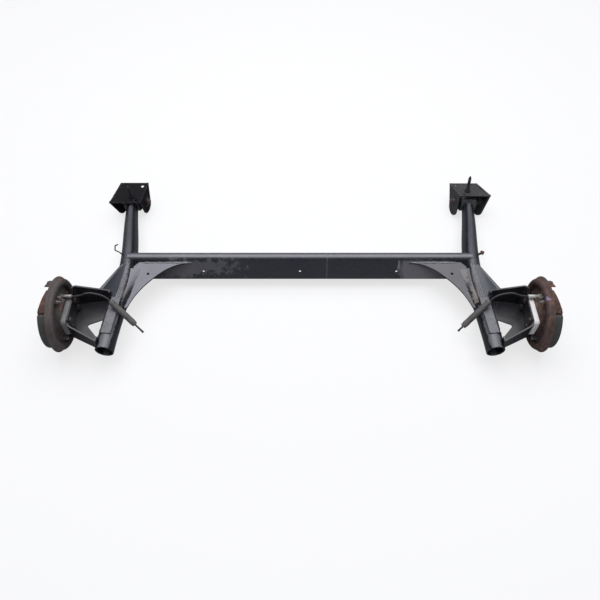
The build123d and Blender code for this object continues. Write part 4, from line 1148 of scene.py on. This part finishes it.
@dataclass(frozen=True)
class DrumRim:
    """The rolled rim of a backing plate, proud of its dish on the car's side, in millimetres."""

    side: Side
    x: float = 717.0
    mean_radius: float = 98.0
    half_wide: float = 10.5
    half_deep: float = 9.0
    dents: tuple[tuple[float, int, float], ...] = ((0.35, 3, 0.7), (0.25, 7, 0.0), (0.15, 17, 0.0))
    around: int = 180
    section: int = 28

    def build(self, dresser: Dresser) -> None:
        """Turn an oval section round the wheel axis.

        A point is x - deep cos b along the axle, at a radius of mean + wide sin b. The dents are
        a few shallow waves round the rim, each of a depth, a count and a phase.
        """
        angle = np.linspace(0.0, 2 * math.pi, self.around, endpoint=False)[:, None]
        section = np.linspace(0.0, 2 * math.pi, self.section, endpoint=False)[None, :]
        dent = sum(depth * np.sin(waves * angle + phase) for depth, waves, phase in self.dents)
        x = self.x - self.half_deep * np.cos(section) + dent * 0.5
        radius = self.mean_radius + self.half_wide * np.sin(section)
        points = about_wheel(self.side, x, radius, angle).reshape(-1, 3)
        faces = outward(points, grid_faces(self.around, self.section, looped=True), np.empty((0, 3), int))
        word = self.side.word
        dresser.add_piece(f"rolled_rim_{word}", (points, faces), f"backing_{word}")


@dataclass(frozen=True)
class ShoeTable:
    """The top end of the rear shoe's table, a curved strip past the lining, in millimetres."""

    side: Side
    x: float = 738.8
    outboard: Pair = (14.3, -1.0)
    inboard: float = -11.0
    inner: float = 98.9
    outer: float = 101.3
    angles: Pair = (122.0, 80.0)
    rows: int = 30

    def build(self, dresser: Dresser) -> None:
        """Carry a thin rectangle round the wheel axis; its outboard edge runs in towards the end."""
        angle = np.radians(np.linspace(*self.angles, self.rows))[:, None]
        edge = np.linspace(*self.outboard, self.rows)[:, None]
        across = np.array([0, 0.25, 0.5, 0.75, 1, 1, 0.75, 0.5, 0.25, 0])[None, :]
        wide = self.inboard + (edge - self.inboard) * across
        radius = np.repeat([self.inner, self.outer], across.size // 2)[None, :]
        skin = closed_skin(about_wheel(self.side, self.x + wide, radius, angle))
        word = self.side.word
        dresser.add_piece(f"rear_shoe_table_{word}", skin, "shoe_steel", f"rear_shoe_{word}",
                          smooth=False)


@dataclass(frozen=True)
class Thread:
    """A screw thread: a fine ridge wound round a plain shank."""

    name: str
    start: np.ndarray
    end: np.ndarray
    radius: float
    finish: str
    body: str
    slot: str
    pitch: float = 1.5
    ridge_share: float = 0.36
    points_a_turn: int = 22

    def build(self, dresser: Dresser) -> None:
        """Wind a thin tube, start + axis t + radius (cos a, sin a), with a of one turn a pitch."""
        run = self.end - self.start
        length = np.linalg.norm(run)
        axis = run / length
        aside = np.cross(axis, (0.0, 1.0, 0.0) if abs(axis[0]) > 0.5 else (1.0, 0.0, 0.0))
        aside /= np.linalg.norm(aside)
        over = np.cross(axis, aside)
        turns = length / (self.pitch * MM)
        angle = np.linspace(0.0, 2 * math.pi * turns, int(turns * self.points_a_turn))[:, None]
        path = (self.start + axis * angle / (2 * math.pi) * self.pitch * MM
                + self.radius * MM * (np.cos(angle) * aside + np.sin(angle) * over))
        ridge = np.full(len(path), self.pitch * self.ridge_share * MM)
        skin = tube_along(path, ridge, around=6, up=tuple(axis))
        dresser.add_piece(self.name, skin, self.finish, self.body)


@dataclass(frozen=True)
class EndThreads:
    """The threads of one end of the axle: the body stud's, and the one at the stub axle's end.

    The bracket lies pitched about its pivot bolt, so that the stud is given from the pivot with
    the bracket drawn level. The sizes are in millimetres and degrees.
    """

    side: Side
    pivot: Point = (600.0, 530.0, 52.0)
    pitches: Pair = (-14.0, 11.0)
    stud_place: Pair = (-8.0, -10.0)
    stud_heights: Pair = (62.5, 97.5)
    stud_radius: float = 4.85
    hub_x: Pair = (766.5, 783.0)
    hub_radius: float = 9.85

    def _on_bracket(self, x: float, y: float, z: float) -> np.ndarray:
        """A point of the level bracket, turned to its pitch, in metres of the frame."""
        pitch = math.radians(self.pitches[self.side.pick])
        tilted_y = y * math.cos(pitch) - z * math.sin(pitch)
        tilted_z = y * math.sin(pitch) + z * math.cos(pitch)
        return spot(self.side, self.pivot[0] + x, self.pivot[1] + tilted_y, self.pivot[2] + tilted_z)

    def build(self, dresser: Dresser) -> None:
        """Wind both threads."""
        word = self.side.word
        low, high = (self._on_bracket(*self.stud_place, z) for z in self.stud_heights)
        Thread(f"stud_thread_{word}", low, high, self.stud_radius, "dark_wire", f"bracket_{word}",
               "zinc_steel").build(dresser)
        near, far = (spot(self.side, x, 0.0, WHEEL_Z) for x in self.hub_x)
        Thread(f"hub_thread_{word}", near, far, self.hub_radius, "ground_steel", "axle",
               "bearing_steel").build(dresser)


def main() -> None:
    """Build the studio, dress the nodes and add the pieces, in order."""
    logging.basicConfig(level=logging.INFO, format="%(name)s: %(message)s")
    Studio().build()
    dresser = Dresser()
    for side in Side:
        HandbrakeCable(side).build(dresser)
    dresser.dress_nodes()
    for side in Side:
        Welds(side).build(dresser)
        DrumRim(side).build(dresser)
        ShoeTable(side).build(dresser)
        EndThreads(side).build(dresser)


if __name__ == "__main__":
    main()
